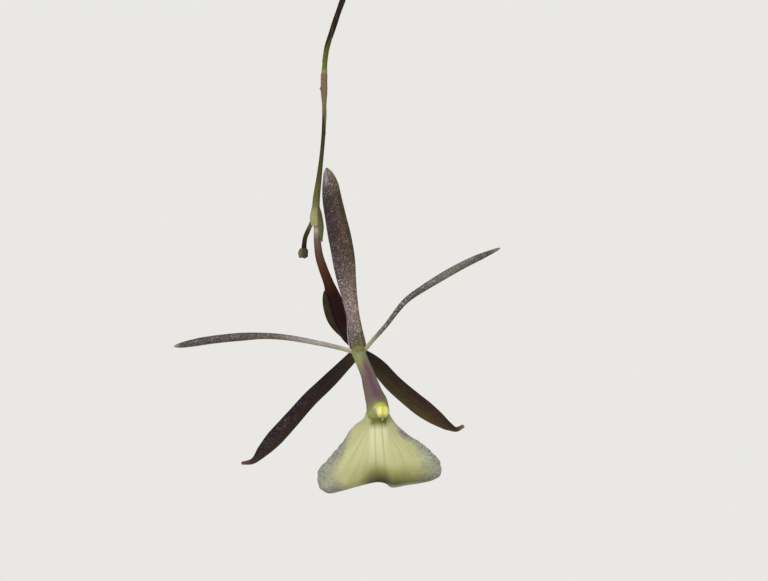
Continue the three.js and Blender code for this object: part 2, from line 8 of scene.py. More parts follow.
import bpy
import numpy as np
from numpy import arange, array, clip, concatenate, cos, cross, exp, linspace, maximum, minimum, pi
from numpy import radians, sin, sqrt, stack, where
from numpy.linalg import norm
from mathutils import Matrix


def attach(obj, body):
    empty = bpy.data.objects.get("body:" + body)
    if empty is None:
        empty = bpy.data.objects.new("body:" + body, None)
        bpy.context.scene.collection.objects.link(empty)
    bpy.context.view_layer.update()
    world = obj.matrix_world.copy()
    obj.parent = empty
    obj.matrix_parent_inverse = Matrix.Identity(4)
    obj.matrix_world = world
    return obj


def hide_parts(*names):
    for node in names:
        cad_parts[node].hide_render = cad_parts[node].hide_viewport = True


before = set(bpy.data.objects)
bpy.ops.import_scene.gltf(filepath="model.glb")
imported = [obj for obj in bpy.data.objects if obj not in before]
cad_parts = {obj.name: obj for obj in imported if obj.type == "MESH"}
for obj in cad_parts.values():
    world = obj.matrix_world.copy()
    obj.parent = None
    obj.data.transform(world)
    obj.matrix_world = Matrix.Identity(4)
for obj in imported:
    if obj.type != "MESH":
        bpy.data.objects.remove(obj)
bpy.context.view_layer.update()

# The pot
# A plant pot thrown on the wheel in red clay and fired once without glaze, with a collar rim and five
# drain holes. The thrower's fingers leave shallow rings, and salts dry out white near rim and foot.

MM = 0.001
POT_OUTLINE = [
    (0, 0), (35, 0), (36.5, 1.5), (45.5, 70), (48.6, 72.5), (49.8, 74), (51.5, 90.2), (50.1, 92),
    (47.6, 92), (46.4, 90.4), (43.4, 70), (32.4, 9.5), (30, 7), (0, 7),
]
THROWING_RING = 3.6  # from one finger ring to the next
DRAIN_COUNT, DRAIN_RADIUS, DRAIN_RING = 5, 4, 21


def linear(hex_colour):
    """An sRGB hex value as linear RGBA: c / 12.92 up to 0.04045, else ((c + 0.055) / 1.055) ^ 2.4."""
    c = array([int(hex_colour[i : i + 2], 16) for i in (1, 3, 5)]) / 255
    c = where(c <= 0.04045, c / 12.92, ((c + 0.055) / 1.055) ** 2.4)
    return (*c.tolist(), 1.0)


def add_node(tree, kind, *placed, out=None, stops=None, **named):
    """Adds one node, whose kind may end in its operation, and returns its output called out, or else its
    first. Inputs go by their place, or by a name with a capital and _ for a blank. Each is an output, a
    number, a hex colour, or the name of one of the mesh's marks. Settings have names in small letters. A
    Mix node mixes colours unless it is told otherwise."""
    kind, _, operation = kind.partition(" ")
    node = tree.nodes.new("ShaderNode" + kind)
    if operation:
        node.operation = operation
    if kind == "Mix":
        node.data_type = "RGBA"
    for key, value in named.items():
        if key.islower():
            setattr(node, key, value)
    used = [s for s in node.inputs if s.enabled]
    by_name = {s.name.replace(" ", "_"): s for s in reversed(used)}
    given = [*zip(used, placed), *((by_name[key], v) for key, v in named.items() if not key.islower())]
    for socket, value in given:
        if isinstance(value, str) and value[0] == "#":
            value = linear(value)
        elif isinstance(value, str):
            value = add_node(tree, "Attribute", out="Fac", attribute_name=value)
        if isinstance(value, bpy.types.NodeSocket):
            tree.links.new(value, socket)
        else:
            socket.default_value = value
    if stops:
        elements = node.color_ramp.elements
        while len(elements) < len(stops):
            elements.new(1.0)
        for element, (at, colour) in zip(elements, stops.items()):
            element.position, element.color = at, linear(colour)
    return node.outputs[out] if out else next((s for s in node.outputs if s.enabled), None)


def new_finish(name):
    """A material without nodes yet, what adds a node to it, and the place of a point in metres."""
    finish = bpy.data.materials.new(name)
    finish.use_nodes = True
    finish.node_tree.nodes.clear()
    node = partial(add_node, finish.node_tree)
    return finish, node, node("TexCoord", out="Object")


def fibres(node, place, stretch, detail):
    """Noise whose grain is about 1 / stretch long along each axis."""
    return node("TexNoise", node("Mapping", place, Scale=stretch), Scale=1, Detail=detail)


def coat(node, colour, height, strength, depth, roughness, specular, scatter=0.0):
    """Ends a finish: its colour, a bump that stands depth metres high where height is 1, and how many
    metres light scatters under the skin of fleshy tissue."""
    relief = node("Bump", Height=height, Strength=strength, Distance=depth)
    surface = node(
        "BsdfPrincipled", Base_Color=colour, Normal=relief, Roughness=roughness,
        Specular_IOR_Level=specular, Subsurface_Weight=0.1 if scatter else 0.0, Subsurface_Scale=scatter,
    )
    node("OutputMaterial", Surface=surface)


def full_turn(count):
    """Angles that divide a circle into count parts, from 0."""
    return linspace(0, 2 * pi, count, endpoint=False)


def ramp(x, start, end):
    """0 where x is start and 1 where it is end, straight between them and level beyond."""
    return clip((x - start) / (end - start), 0, 1)


def bell(x, middle, width):
    """exp(-((x - middle) / width) ^ 2)."""
    return exp(-(((x - middle) / width) ** 2))


def unit(v):
    """Vectors scaled to a length of 1."""
    return v / norm(v, axis=-1, keepdims=True)


def closed_mesh(rings, **marks):
    """A closed skin through rings of points, rows x ring x 3. Quads join each ring to the next, and the
    first and last ring are closed by strips from point j to point -j. marks are values at the points."""
    rows, around = rings.shape[:2]
    here = arange(rows * around).reshape(rows, around)
    beside = np.roll(here, -1, 1)
    quads = [stack([here[:-1], beside[:-1], beside[1:], here[1:]], -1).reshape(-1, 4)]
    thirds = []
    j = arange(1, around // 2 - 1)
    h = around // 2
    for ring, turn in ((here[0], 1), (here[-1], -1)):
        quads.append(stack([ring[j], ring[-j], ring[-j - 1], ring[j + 1]], -1)[:, ::turn])
        ends = array([[ring[0], ring[-1], ring[1]], [ring[h - 1], ring[h + 1], ring[h]]])
        thirds.append(ends[:, ::turn])
    quads, thirds = concatenate(quads), concatenate(thirds)
    points = rings.reshape(-1, 3)
    corners = points[concatenate([quads[:, :3], quads[:, [0, 2, 3]], thirds])]
    volume = np.einsum("ij,ij->i", corners[:, 0], cross(corners[:, 1], corners[:, 2])).sum()
    if volume < 0:
        quads, thirds = quads[:, ::-1], thirds[:, ::-1]
    flat = {key: np.broadcast_to(value, (rows, around)).reshape(-1) for key, value in marks.items()}
    return {"points": points, "quads": quads, "thirds": thirds, "marks": flat}


def put(name, data):
    """An object of a mesh, lamp or camera, in the scene at the origin."""
    made = bpy.data.objects.new(name, data)
    bpy.context.scene.collection.objects.link(made)
    return made


def join_up(name, parts):
    """One object at the origin of closed meshes with their marks, scaled from mm to metres."""
    starts = np.cumsum([0] + [len(p["points"]) for p in parts])
    groups = [p[kind] + start for p, start in zip(parts, starts) for kind in ("quads", "thirds")]
    points = concatenate([p["points"] for p in parts]) * MM
    mesh = bpy.data.meshes.new(name)
    mesh.from_pydata(points.tolist(), [], [face for group in groups for face in group.tolist()])
    for key in parts[0]["marks"]:
        values = concatenate([p["marks"][key] for p in parts]).astype(np.float32)
        mesh.attributes.new(key, "FLOAT", "POINT").data.foreach_set("value", values)
    return put(name, mesh)


def make_piece(name, parts, finish, solid):
    """Joins closed meshes into one smooth piece that rides on the plant, has the given finish and stands
    for the solid."""
    made = join_up(name, parts)
    made.data.polygons.foreach_set("use_smooth", np.ones(len(made.data.polygons), bool))
    made.data.materials.append(finish)
    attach(made, "root")
    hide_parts(solid)
    return made


def run_along(line):
    """The distance from a line's start to each of its points."""
    return concatenate([[0], np.cumsum(norm(np.diff(line, axis=0), axis=1))])


def rounded_line(corners, spacing, soften):
    """A line through corners with a point every `spacing` mm, rounded by a moving average."""
    corners = array(corners, float)
    run = run_along(corners)
    line = stack([np.interp(arange(0, run[-1], spacing), run, c) for c in corners.T], -1)
    n = 2 * round(soften / spacing / 2) + 1
    line = np.pad(line, ((n // 2, n // 2), (0, 0)), mode="edge")
    return stack([np.convolve(c, np.ones(n) / n, "valid") for c in line.T], -1)


def turned(line, around):
    """A lathe surface: (r cos a, r sin a, z) for each (r, z) of the line and each angle a."""
    a = full_turn(around)
    r, z = line[:, :1], line[:, 1:]
    return stack([r * cos(a), r * sin(a), np.broadcast_to(z, (len(line), around))], -1)


pot_line = rounded_line(POT_OUTLINE, 0.8, 1.7)
pot_line = pot_line[pot_line[:, 0] > 1.5]
wall = (arange(len(pot_line)) < np.argmax(pot_line[:, 1])) & (pot_line[:, 1] > 3) & (pot_line[:, 1] < 70)
finger = sin(2 * pi * pot_line[:, 1] / THROWING_RING + 0.9 * sin(pot_line[:, 1] / 9))
pot_line[:, 0] += where(wall, 0.13 * finger, 0)
pot_rings = turned(pot_line, 168)
turn = np.arctan2(pot_rings[..., 1], pot_rings[..., 0])
pot_rings[..., :2] *= (1 + 0.0014 * sin(2 * turn + 0.6) + 0.0008 * sin(5 * turn))[..., None]

terracotta, node, place = new_finish("terracotta_thrown_unglazed")
# Red earthenware: chalky and matt, mottled by the fire over centimetres, with sand grains of 0.5 mm.
# The white salt bloom shows where water dries out of the wall, under the rim and at the foot.
fire = node("TexNoise", place, Scale=34, Detail=4)
body = node("ValToRGB", fire, stops={0.32: "#8E4B35", 0.5: "#A65F42", 0.68: "#B87555"})
height = node("SeparateXYZ", place, out="Z")
foot = node("MapRange", height, 0.034, 0.002)
brow = node("MapRange", height, 0.06, 0.09)
drying = node("Math MAXIMUM", foot, brow)
cloud = node("MapRange", node("TexNoise", place, Scale=95, Detail=6), 0.4, 0.8, 0, 0.75)
salt = node("Math MULTIPLY", drying, cloud)
colour = node("Mix", salt, body, "#D3BCA8")
grit = node("TexNoise", place, Scale=2000)
coat(node, colour, grit, 0.5, 0.0001, roughness=0.88, specular=0.3)

pot = make_piece("clay_pot", [closed_mesh(pot_rings)], terracotta, "pot")
drill_rings = turned(array([(DRAIN_RADIUS, -3), (DRAIN_RADIUS, 12)], float), 40)
drills = [
    closed_mesh(drill_rings + [DRAIN_RING * cos(a), DRAIN_RING * sin(a), 0])
    for a in full_turn(DRAIN_COUNT) + pi / DRAIN_COUNT
]
drill = join_up("drill", drills)
holes = pot.modifiers.new("drain_holes", "BOOLEAN")
holes.object, holes.operation, holes.solver = drill, "DIFFERENCE", "EXACT"
depsgraph = bpy.context.evaluated_depsgraph_get()
drilled = bpy.data.meshes.new_from_object(pot.evaluated_get(depsgraph))
pot.modifiers.clear()
pot.data = drilled
bpy.data.objects.remove(drill)

# The bark
# Chips of fir bark, the usual bed for epiphytic orchids: flat crumbs 5 to 15 mm long, sawn and riddled,
# dark red-brown in layers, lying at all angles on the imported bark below.

CHIP_COUNT, CRUMB_COUNT = 42, 90  # the chips of the solid, and smaller ones between them
CHIP_SPREAD, BARK_TOP = 41, 82
GOLDEN_ANGLE = 2.39996  # radians from one chip to the next
ROOM = [(0, 31.7), (10, 31.7), (68, 42.3), (92, 45.8)]  # height and the pot's inner radius there
CORE = [(0, 7.4), (29.6, 7.4), (31.6, 10), (42.3, 68), (43.6, 79.4), (36, 80.6), (0, 81)]


def draw(a, b):
    """A repeatable number from 0 to 1 for two whole ones: the fraction of a large sine."""
    s = sin(a * 12.9898 + b * 78.233) * 43758.5453
    return s - np.floor(s)


def ripple(points, size, seed=0):
    """A smooth wobble, about -1 to 1, over points in mm: twice the mean of sin(pi w.p / size + phase) for
    five fixed slanting vectors w, 1.2 to 3 long."""
    k = arange(5)
    ways = stack([draw(k + seed, n) for n in (21, 22, 23)], -1) * 2 - 1
    ways = unit(ways) * (1.2 + k[:, None] * 0.45)
    return 2 * sin(pi * (points @ ways.T) / size + 2 * pi * draw(k + seed, 24)).mean(-1)


def chip_block(steps):
    """A rounded block in a ring layout: for each height z and angle a the unit square
    (cos a, sin a) / max(|cos a|, |sin a|), drawn in near the top and bottom."""
    z = sin(linspace(-0.5, 0.5, steps) * pi)[:, None]
    a = (full_turn(4 * steps) + 0.02)[None]
    square = 1 / maximum(abs(cos(a)), abs(sin(a)))
    soft = sqrt(ramp(abs(z), 1, 0.75))
    r = (0.3 + 0.7 * soft) * square**0.85
    return stack([r * cos(a), r * sin(a), np.broadcast_to(z, r.shape)], -1)


def chips(numbers, scale, drop):
    """All chips at once, chip x rows x ring x 3: a block sized, its corners drawn in unevenly, turned
    about X, Y and Z, and laid on a sunflower spiral of CHIP_COUNT steps out to CHIP_SPREAD."""
    i = numbers[:, None, None]
    p = chip_block(9)[None] + np.zeros((len(numbers), 1, 1, 1))
    layer = p[..., 2].copy()
    corner = sum(
        draw(i + 5, sx + 3 * sy + 9 * sz) * ramp(sx * p[..., 0], -1, 1) * ramp(sy * p[..., 1], -1, 1)
        * ramp(sz * p[..., 2], -1, 1)
        for sx in (-1, 1) for sy in (-1, 1) for sz in (-1, 1)
    )
    size = [9 + 6 * draw(i, 1), 6 + 4 * draw(i, 2), 3 + 2.4 * draw(i, 3)]
    p = stack([p[..., k] * size[k] * scale / 2 for k in range(3)], -1)
    p[..., :2] *= (0.74 + 0.26 * corner)[..., None]
    p *= (1 + 0.09 * ripple(p + 40.0 * i[..., None], 3.5))[..., None]
    turns = 0.5 * (draw(i, 4) - 0.5), 0.6 * (draw(i, 5) - 0.5), 2 * pi * draw(i, 6)
    for axis, turn_by in enumerate(turns):
        u, v = (axis + 1) % 3, (axis + 2) % 3
        c, s = cos(turn_by), sin(turn_by)
        p[..., u], p[..., v] = c * p[..., u] - s * p[..., v], s * p[..., u] + c * p[..., v]
    reach = CHIP_SPREAD * sqrt((numbers % CHIP_COUNT + 0.5) / CHIP_COUNT)
    spin = numbers * GOLDEN_ANGLE
    top = BARK_TOP + 0.4 + 1.6 * draw(numbers, 7) - drop
    p += stack([reach * cos(spin), reach * sin(spin), top], -1)[:, None, None]
    r = norm(p[..., :2], axis=-1)
    room = np.interp(p[..., 2], *array(ROOM).T) - 0.2
    p[..., :2] *= minimum(1, room / maximum(r, 1))[..., None]
    return p, layer


core_rings = turned(rounded_line(CORE, 1.2, 2.5), 128)
core_rings = core_rings[norm(core_rings[:, 0, :2], axis=1) > 1]
upper = (core_rings[..., 2] > 76) & (norm(core_rings[..., :2], axis=-1) < 40)
core_rings[..., 2] += where(upper, 0.9 * ripple(core_rings, 5) - 0.6, 0)
bark_parts = [closed_mesh(core_rings, layer=0.0, shade=0.1)]
for numbers, scale, drop in (
    (arange(CHIP_COUNT), 1.0, 0.0),
    (arange(CHIP_COUNT, CHIP_COUNT + CRUMB_COUNT), 0.55, 0.4),
):
    laid, layer = chips(numbers, scale, drop)
    for number, block, height in zip(numbers, laid, layer):
        bark_parts.append(closed_mesh(block, layer=height, shade=draw(number, 8)))

fir_bark, node, place = new_finish("fir_bark_riddled")
# Bark of a conifer: corky layers about 1 mm thick between darker resin lines, grey-brown on the old
# outer face and red-brown where it broke, dry and quite without gloss.
crumble = node("TexNoise", place, Scale=520, Detail=6)
wave = node("Math MULTIPLY_ADD", "layer", 11, node("Math MULTIPLY", crumble, 9))
wave = node("MapRange", node("Math SINE", wave), -1, 1)
body = node("ValToRGB", wave, stops={0: "#2A1810", 0.35: "#4C2F20", 0.75: "#6B4730", 1: "#8A6344"})
tone = node("ValToRGB", "shade", stops={0: "#453025", 1: "#8E7D6A"})
colour = node("Mix", 0.35, body, tone)
coat(node, colour, crumble, 0.9, 0.0007, roughness=0.95, specular=0.15)
make_piece("bark_chips", bark_parts, fir_bark, "bark_medium")

# Rhizome and roots
# A creeping stem a little thinner than a pencil, ringed by the scars of its brown scale leaves, and
# fleshy roots in velamen: a dead, spongy sleeve that dries silvery white. One root's tip still grows.

RHIZOME_RADIUS, ROOT_RADIUS = 2.7, 1.15
SCALE_LEAF = 4.6  # from one ring of the rhizome to the next
RHIZOME = [(-25, 5, 84), (-14, 1, 86), (0, -1, 86.4), (14, 0, 86), (29, 3, 85.4)]
INTO_BARK = [(0, 0), (6, 1.6), (13, 1.2), (18, -2), (20, -9)]  # outwards and up from where a root starts
CREEPING = [(0, 0), (7, 0.8), (15, 0.9), (23, 0.6), (28, -3), (29.5, -9)]
OVER_RIM = [
    (0, 0), (12, 1.8), (27, 5), (38, 8.6), (44.5, 10.4), (50, 9.6), (52.6, 5), (53, -4), (52.6, -17),
    (50.8, -30),
]
ROOTS = [  # where along the rhizome a root starts, its heading in degrees, and its path
    (0.1, 205, INTO_BARK), (0.18, 118, CREEPING), (0.3, 262, CREEPING), (0.42, 68, INTO_BARK),
    (0.5, 292, OVER_RIM), (0.62, 248, INTO_BARK), (0.7, 82, CREEPING), (0.86, 318, INTO_BARK),
]
FRONT = array([0.0, -1.0, 0.0])


def evenly(line, t):
    """Points at the shares t of a fine line's length."""
    run = run_along(line)
    return stack([np.interp(np.asarray(t) * run[-1], run, c) for c in line.T], -1)


def smooth_path(points, t):
    """The centripetal Catmull-Rom curve at shares t of its length: on a span from p1 to p2 the cubic with
    tangents d1 ((p1 - p0) / d0 - (p2 - p0) / (d0 + d1) + (p2 - p1) / d1) at p1 and alike at p2, where each
    d is the square root of a chord."""
    p = array(points, float)
    spans = len(p) - 1
    p = np.vstack([2 * p[0] - p[1], p, 2 * p[-1] - p[-2]])
    s = linspace(0, spans, 60 * spans + 1)
    i = minimum(s.astype(int), spans - 1)
    w = (s - i)[:, None]
    p0, p1, p2, p3 = (p[i + k] for k in range(4))
    d = sqrt(norm(np.diff(p, axis=0), axis=1))
    d0, d1, d2 = (d[i + k][:, None] for k in range(3))
    m1 = d1 * ((p1 - p0) / d0 - (p2 - p0) / (d0 + d1) + (p2 - p1) / d1)
    m2 = d1 * ((p2 - p1) / d1 - (p3 - p1) / (d1 + d2) + (p3 - p2) / d2)
    line = p1 + m1 * w + (3 * (p2 - p1) - 2 * m1 - m2) * w**2 + (2 * (p1 - p2) + m1 + m2) * w**3
    return evenly(line, t)


def carried(path, face, across, outwards):
    """A profile carried along a path: point + across side + outwards out, with side = along x face and
    out = side x along."""
    along = unit(np.gradient(path, axis=0))
    side = unit(cross(along, face))
    out = cross(side, along)
    return path[:, None] + across[..., None] * side[:, None] + outwards[..., None] * out[:, None]


def tube(path, wide, deep, around, face=FRONT):
    """A tube with half-widths wide across and deep outwards: wide cos a and deep sin a round the path."""
    a = full_turn(around)
    wide, deep = (np.broadcast_to(w, len(path))[:, None] for w in (wide, deep))
    return carried(path, face, wide * cos(a), deep * sin(a))


def rounded_ends(path, radius):
    """How far a tube's radius shrinks near its ends: sqrt(1 - (1 - distance / radius) ^ 2)."""
    run = run_along(path)
    near = ramp(minimum(run, run[-1] - run), 0, radius)
    return maximum(sqrt(1 - (1 - near) ** 2), 0.05)


t = linspace(0, 1, 150)
path = smooth_path(RHIZOME, t)
scale = t * run_along(path)[-1] / SCALE_LEAF % 1
thick = RHIZOME_RADIUS * (0.93 + 0.1 * scale**2) * rounded_ends(path, 2.4)
rings = tube(path, thick, thick, 40)
rings += (0.05 * ripple(rings, 2.0))[..., None]
rhizome_mesh = closed_mesh(rings, scale=scale[:, None])

root_parts = []
for which, (start, heading, plan) in enumerate(ROOTS):
    way = array([cos(radians(heading)), sin(radians(heading))])
    route = [smooth_path(RHIZOME, start) + [*(out * way), up] for out, up in plan]
    t = linspace(0, 1, 130)
    path = smooth_path(route, t)
    sway = stack([ripple(path, 9, 3), ripple(path, 9, 5), 0 * t], -1)
    path = path + 0.35 * sway * sin(pi * t)[:, None]
    thick = ROOT_RADIUS * (1 - 0.3 * t**4) * (1 + 0.06 * ripple(path, 6, which)) * rounded_ends(path, 1.6)
    rings = tube(path, thick, thick, 24, face=array([-way[1], way[0], 0.0]))
    growing = ramp(t, 0.9, 0.96)[:, None] if plan is OVER_RIM else 0.0
    root_parts.append(closed_mesh(rings, growing=growing))

rhizome_bark, node, place = new_finish("rhizome_scale_leaves")
# Living green-brown rind under papery scale leaves that dried to rings, fibrous and slightly glossy.
fibre = fibres(node, place, (120, 1500, 1500), 4)
ageing = node("Math MULTIPLY_ADD", "scale", 0.7, fibre)
colour = node("ValToRGB", ageing, stops={0.3: "#4F5428", 0.62: "#6E5C38", 0.9: "#8E7449", 1: "#4B3824"})
coat(node, colour, fibre, 0.6, 0.0002, roughness=0.7, specular=0.3)
make_piece("rhizome", [rhizome_mesh], rhizome_bark, "rhizome_roots")

velamen, node, place = new_finish("root_velamen_dry")
# Air-filled dead cells scatter light white; the green core shows faintly through, algae and dust stain
# it in patches of a few mm, and a growing tip has no velamen yet and is glossy green.
stain = node("TexNoise", place, Scale=260, Detail=6)
skin = node("ValToRGB", stain, stops={0.3: "#8E8B70", 0.46: "#B9B6A0", 0.6: "#CFCDBD", 0.75: "#A39A80"})
colour = node("Mix", "growing", skin, "#7D9150")
cells = node("TexNoise", place, Scale=1800)
coat(node, colour, cells, 0.4, 0.00015, roughness=0.75, specular=0.25)
make_piece("aerial_roots", root_parts, velamen, "rhizome_roots")

# Leafy stems
# Five reed-like canes, each wrapped in leaf sheaths that end in a dry brown mouth at every joint. The
# leathery, folded leaves leave the joints left and right by turns, with fine veins along them.

STEMS = [  # base, bend and top, radius, leaves, their length and width, heading, place of the first
    ((-14, 1, 86), (-15, -3, 170), (-30, -13, 261), 2.1, 6, 74, 15, 292, 0.36),
    ((-3, -1, 86), (1, 3, 150), (8, 16, 236), 2.0, 6, 78, 16, 62, 0.32),
    ((8, -0.5, 86), (22, -10, 140), (39, -27, 196), 1.9, 5, 68, 15, 330, 0.34),
    ((18, 0.6, 86), (26, 16, 140), (38, 40, 182), 1.9, 4, 62, 14, 75, 0.4),
    ((26, 2.4, 86), (36, 3, 108), (45, 5, 132), 1.8, 3, 38, 11, 355, 0.45),
]
LEAF_WIDTH = [
    (0, 0.34), (0.08, 0.5), (0.22, 0.84), (0.42, 1), (0.62, 0.93), (0.8, 0.68), (0.92, 0.36), (1, 0.05),
]
LEAF_FOLD = 24  # degrees that each half rises from the midrib
LEAF_VEIN = 0.95  # from one vein to the next


def eased(knots, x):
    """A smooth line through (x, height) pairs: cubic Hermite spans whose slope at a pair is the harmonic
    mean of the slopes on its two sides, or level where they turn round; level beyond the ends."""
    at, height = array(knots, float).T
    rise = np.diff(height) / np.diff(at)
    a, b = rise[:-1], rise[1:]
    turning = a * b <= 0
    inner = where(turning, 0, 2 * a * b / where(turning, 1, a + b))
    slope = concatenate([rise[:1], inner, rise[-1:]])
    i = clip(np.searchsorted(at, x, side="right") - 1, 0, len(at) - 2)
    h = at[i + 1] - at[i]
    s = ramp(x, at[i], at[i + 1])
    start = (1 + 2 * s) * (1 - s) ** 2 * height[i] + s * (1 - s) ** 2 * h * slope[i]
    return start + s**2 * (3 - 2 * s) * height[i + 1] + s**2 * (s - 1) * h * slope[i + 1]


def bowed(base, bend, top, t):
    """A bow, (1 - s)^2 base + 2 s (1 - s) bend + s^2 top, at shares t of its length."""
    s = linspace(0, 1, 400)[:, None]
    base, bend, top = (array(p, float) for p in (base, bend, top))
    return evenly((1 - s) ** 2 * base + 2 * s * (1 - s) * bend + s**2 * top, t)


def cane(base, bend, top, radius, joints):
    """A cane in its sheaths: the radius grows from 0.94 to 1.16 of its size over each sheath, as the
    square of the share, drops at the mouth, and tapers by 28% from base to top. Its mark is the mm below
    the next mouth."""
    joints = array([0.0, *joints, 1.0])
    t = np.unique(concatenate([linspace(0, 1, 190), joints[1:-1] - 0.0008, joints[1:-1] + 0.0012]))
    path = bowed(base, bend, top, t)
    sheath = clip(np.searchsorted(joints, t, side="right") - 1, 0, len(joints) - 2)
    share = (t - joints[sheath]) / (joints[sheath + 1] - joints[sheath])
    below = (joints[sheath + 1] - t) * run_along(path)[-1]
    below = where(sheath == len(joints) - 2, 20.0, below)
    r = radius * (0.94 + 0.22 * share**2) * (1 - 0.28 * t) * (1 + 0.22 * exp(-t / 0.02))
    r = r * rounded_ends(path, 1.2)
    rings = tube(path, r, r, 40)
    rings = rings + (0.03 * ripple(rings, 4.0))[..., None]
    uneven = 0.5 * sin(2 * full_turn(40) + sheath[:, None])
    return closed_mesh(rings, below=minimum(below, 30)[:, None] + uneven)


def leaf(root, axis, outwards, length, width, opening, droop, seed):
    """A leaf whose angle from the cane's axis grows as opening + (droop - opening) t^1.2. In section it is
    a V with a soft fold f, q half cos f across and (sqrt(q^2 + 0.012) - 0.11) half sin f up for q from -1
    to 1, thickest at the midrib and a little wavy."""
    t = linspace(0, 1, 49)
    angle = radians(opening + (droop - opening) * t**1.2)[:, None]
    step = (cos(angle) * axis + sin(angle) * outwards) * length / 48
    path = root + concatenate([np.zeros((1, 3)), np.cumsum(step[:-1], axis=0)])
    side = unit(cross(outwards, axis))
    up = (sin(angle) * axis - cos(angle) * outwards)[:, None]
    a = full_turn(36)
    q = cos(a)
    half = (width * eased(LEAF_WIDTH, t) / 2)[:, None]
    fold = radians(LEAF_FOLD)
    across = q * half
    wave = 0.45 * sin(2 * pi * (1.6 * t[:, None] + 0.3 * seed)) * q**2 * sin(pi * t)[:, None]
    veins = 0.02 * cos(2 * pi * across / LEAF_VEIN)
    skin = np.sign(sin(a)) * abs(sin(a)) ** 0.6 * (0.3 - 0.1 * abs(q)) * minimum(1, half)
    keel = where(sin(a) < 0, -0.35 * bell(across, 0, 0.7), 0)
    rise = (sqrt(q**2 + 0.012) - 0.11) * half * sin(fold) + wave + skin + veins + keel
    rings = path[:, None] + (across * cos(fold))[..., None] * side + rise[..., None] * up
    return closed_mesh(
        rings, across=across, along=t[:, None] * length, upper=sin(a) > 0, spare=half - abs(across),
        tip=t[:, None], leaf_seed=draw(seed, 31),
    )


sheath_green, node, place = new_finish("cane_sheath_living")
# Living leaf sheath: satin green with fibres about 0.7 mm apart, flushed purple-brown where light
# falls on it, and a papery mouth that died back brown for a millimetre or two.
fibre = fibres(node, place, (1300, 1300, 28), 3)
skin = node("ValToRGB", fibre, stops={0.3: "#4D6229", 0.5: "#627637", 0.7: "#7C8A49"})
flush = node("MapRange", node("TexNoise", place, Scale=55, Detail=3), 0.5, 0.72, 0, 0.55)
skin = node("Mix", flush, skin, "#67503F")
dead = node("MapRange", "below", 2.4, 1)
dry = node("ValToRGB", fibre, stops={0.3: "#6B5233", 0.7: "#B49A6C"})
colour = node("Mix", dead, skin, dry)
coat(node, colour, fibre, 0.5, 0.0001, roughness=0.5, specular=0.35)

leaf_green, node, _ = new_finish("leaf_leathery")
# Thick leaf with a waxy cuticle: satin mid-green above, paler and duller below, a pale midrib, parallel
# veins 0.95 mm apart, a hair-thin pale margin, and now and then a tip that has scorched brown.
streak = node("CombineXYZ", "across", "along", "leaf_seed")
streak = fibres(node, streak, (1.5, 0.035, 40), 4)
vein = node("Math COSINE", node("Math MULTIPLY", "across", 2 * pi / LEAF_VEIN))
tone = node("Math MULTIPLY_ADD", vein, 0.05, streak)
top = node("ValToRGB", tone, stops={0.3: "#35501F", 0.5: "#4A672B", 0.72: "#66803A"})
under = node("ValToRGB", tone, stops={0.3: "#62793C", 0.7: "#86995A"})
skin = node("Mix", "upper", under, top)
rib = node("MapRange", node("Math ABSOLUTE", "across"), 0.55, 0.15, 0, 0.5)
skin = node("Mix", rib, skin, "#93A65F")
edge = node("MapRange", "spare", 0.35, 0.1, 0, 0.6)
skin = node("Mix", edge, skin, "#9AA566")
scorch = node("Math MULTIPLY_ADD", "leaf_seed", 0.06, "tip")
scorch = node("MapRange", node("Math MULTIPLY_ADD", streak, 0.05, scorch), 1.045, 1.062)
colour = node("Mix", scorch, skin, "#7D5B36")
coat(node, colour, tone, 0.35, 0.0002, roughness=0.4, specular=0.4)

for which, (base, bend, top, radius, leaves, long, wide, plane, first) in enumerate(STEMS, 1):
    leaf_joints = first + (0.985 - first) * arange(leaves) / (leaves - 1)
    joints = [first * 0.38, first * 0.7, *leaf_joints[:-1]]  # the lowest two bear no leaf
    leaf_parts = []
    for i, t in enumerate(leaf_joints):
        lower, root, higher = bowed(base, bend, top, array([t - 0.002, t, t + 0.002]))
        axis = unit(higher - lower)
        heading = radians(plane + 180 * (i % 2) + 16 * (draw(which, i) - 0.5))
        outwards = array([cos(heading), sin(heading), 0])
        outwards = unit(outwards - axis * (outwards @ axis))
        share = i / (leaves - 1)
        # The middle leaves are longest, and upper ones stand steeper than lower ones.
        size = 0.78 + 0.3 * sin(pi * (0.15 + 0.75 * share))
        opening, droop = 26 - 8 * share + 6 * draw(i, which), 84 - 32 * share + 14 * draw(which + 7, i)
        seed = which + 5 * i
        leaf_parts.append(leaf(root, axis, outwards, long * size, wide * size, opening, droop, seed))
    solid = f"leafy_stem_{which}"
    cane_mesh = cane(base, bend, top, radius, joints)
    make_piece(f"stem_{which}_cane", [cane_mesh], sheath_green, solid)
    make_piece(f"stem_{which}_leaves", leaf_parts, leaf_green, solid)

# The old cane
# A cane that flowered in an earlier year and dropped its leaves. Its sheaths stay on, dried to straw
# and weathered grey, and split into fibres at their mouths.

OLD_CANE = ((-22.5, 4, 84.6), (-27, 10, 128), (-38, 19, 166))

straw, node, place = new_finish("cane_sheath_dead")
# Dead sheath: straw with brown fibres about 0.5 mm apart and grey weathering in patches, matt.
fibre = fibres(node, place, (1900, 1900, 35), 4)
skin = node("ValToRGB", fibre, stops={0.3: "#66502F", 0.5: "#937C50", 0.68: "#B5A074"})
grey = node("MapRange", node("TexNoise", place, Scale=150, Detail=5), 0.5, 0.65, 0, 0.7)
skin = node("Mix", grey, skin, "#8B8472")
mouth = node("MapRange", "below", 1.6, 0.4)
colour = node("Mix", mouth, skin, "#59422A")
coat(node, colour, fibre, 0.7, 0.0002, roughness=0.85, specular=0.2)
make_piece("dry_cane", [cane(*OLD_CANE, 1.7, [0.2, 0.42, 0.64, 0.84])], straw, "old_cane")

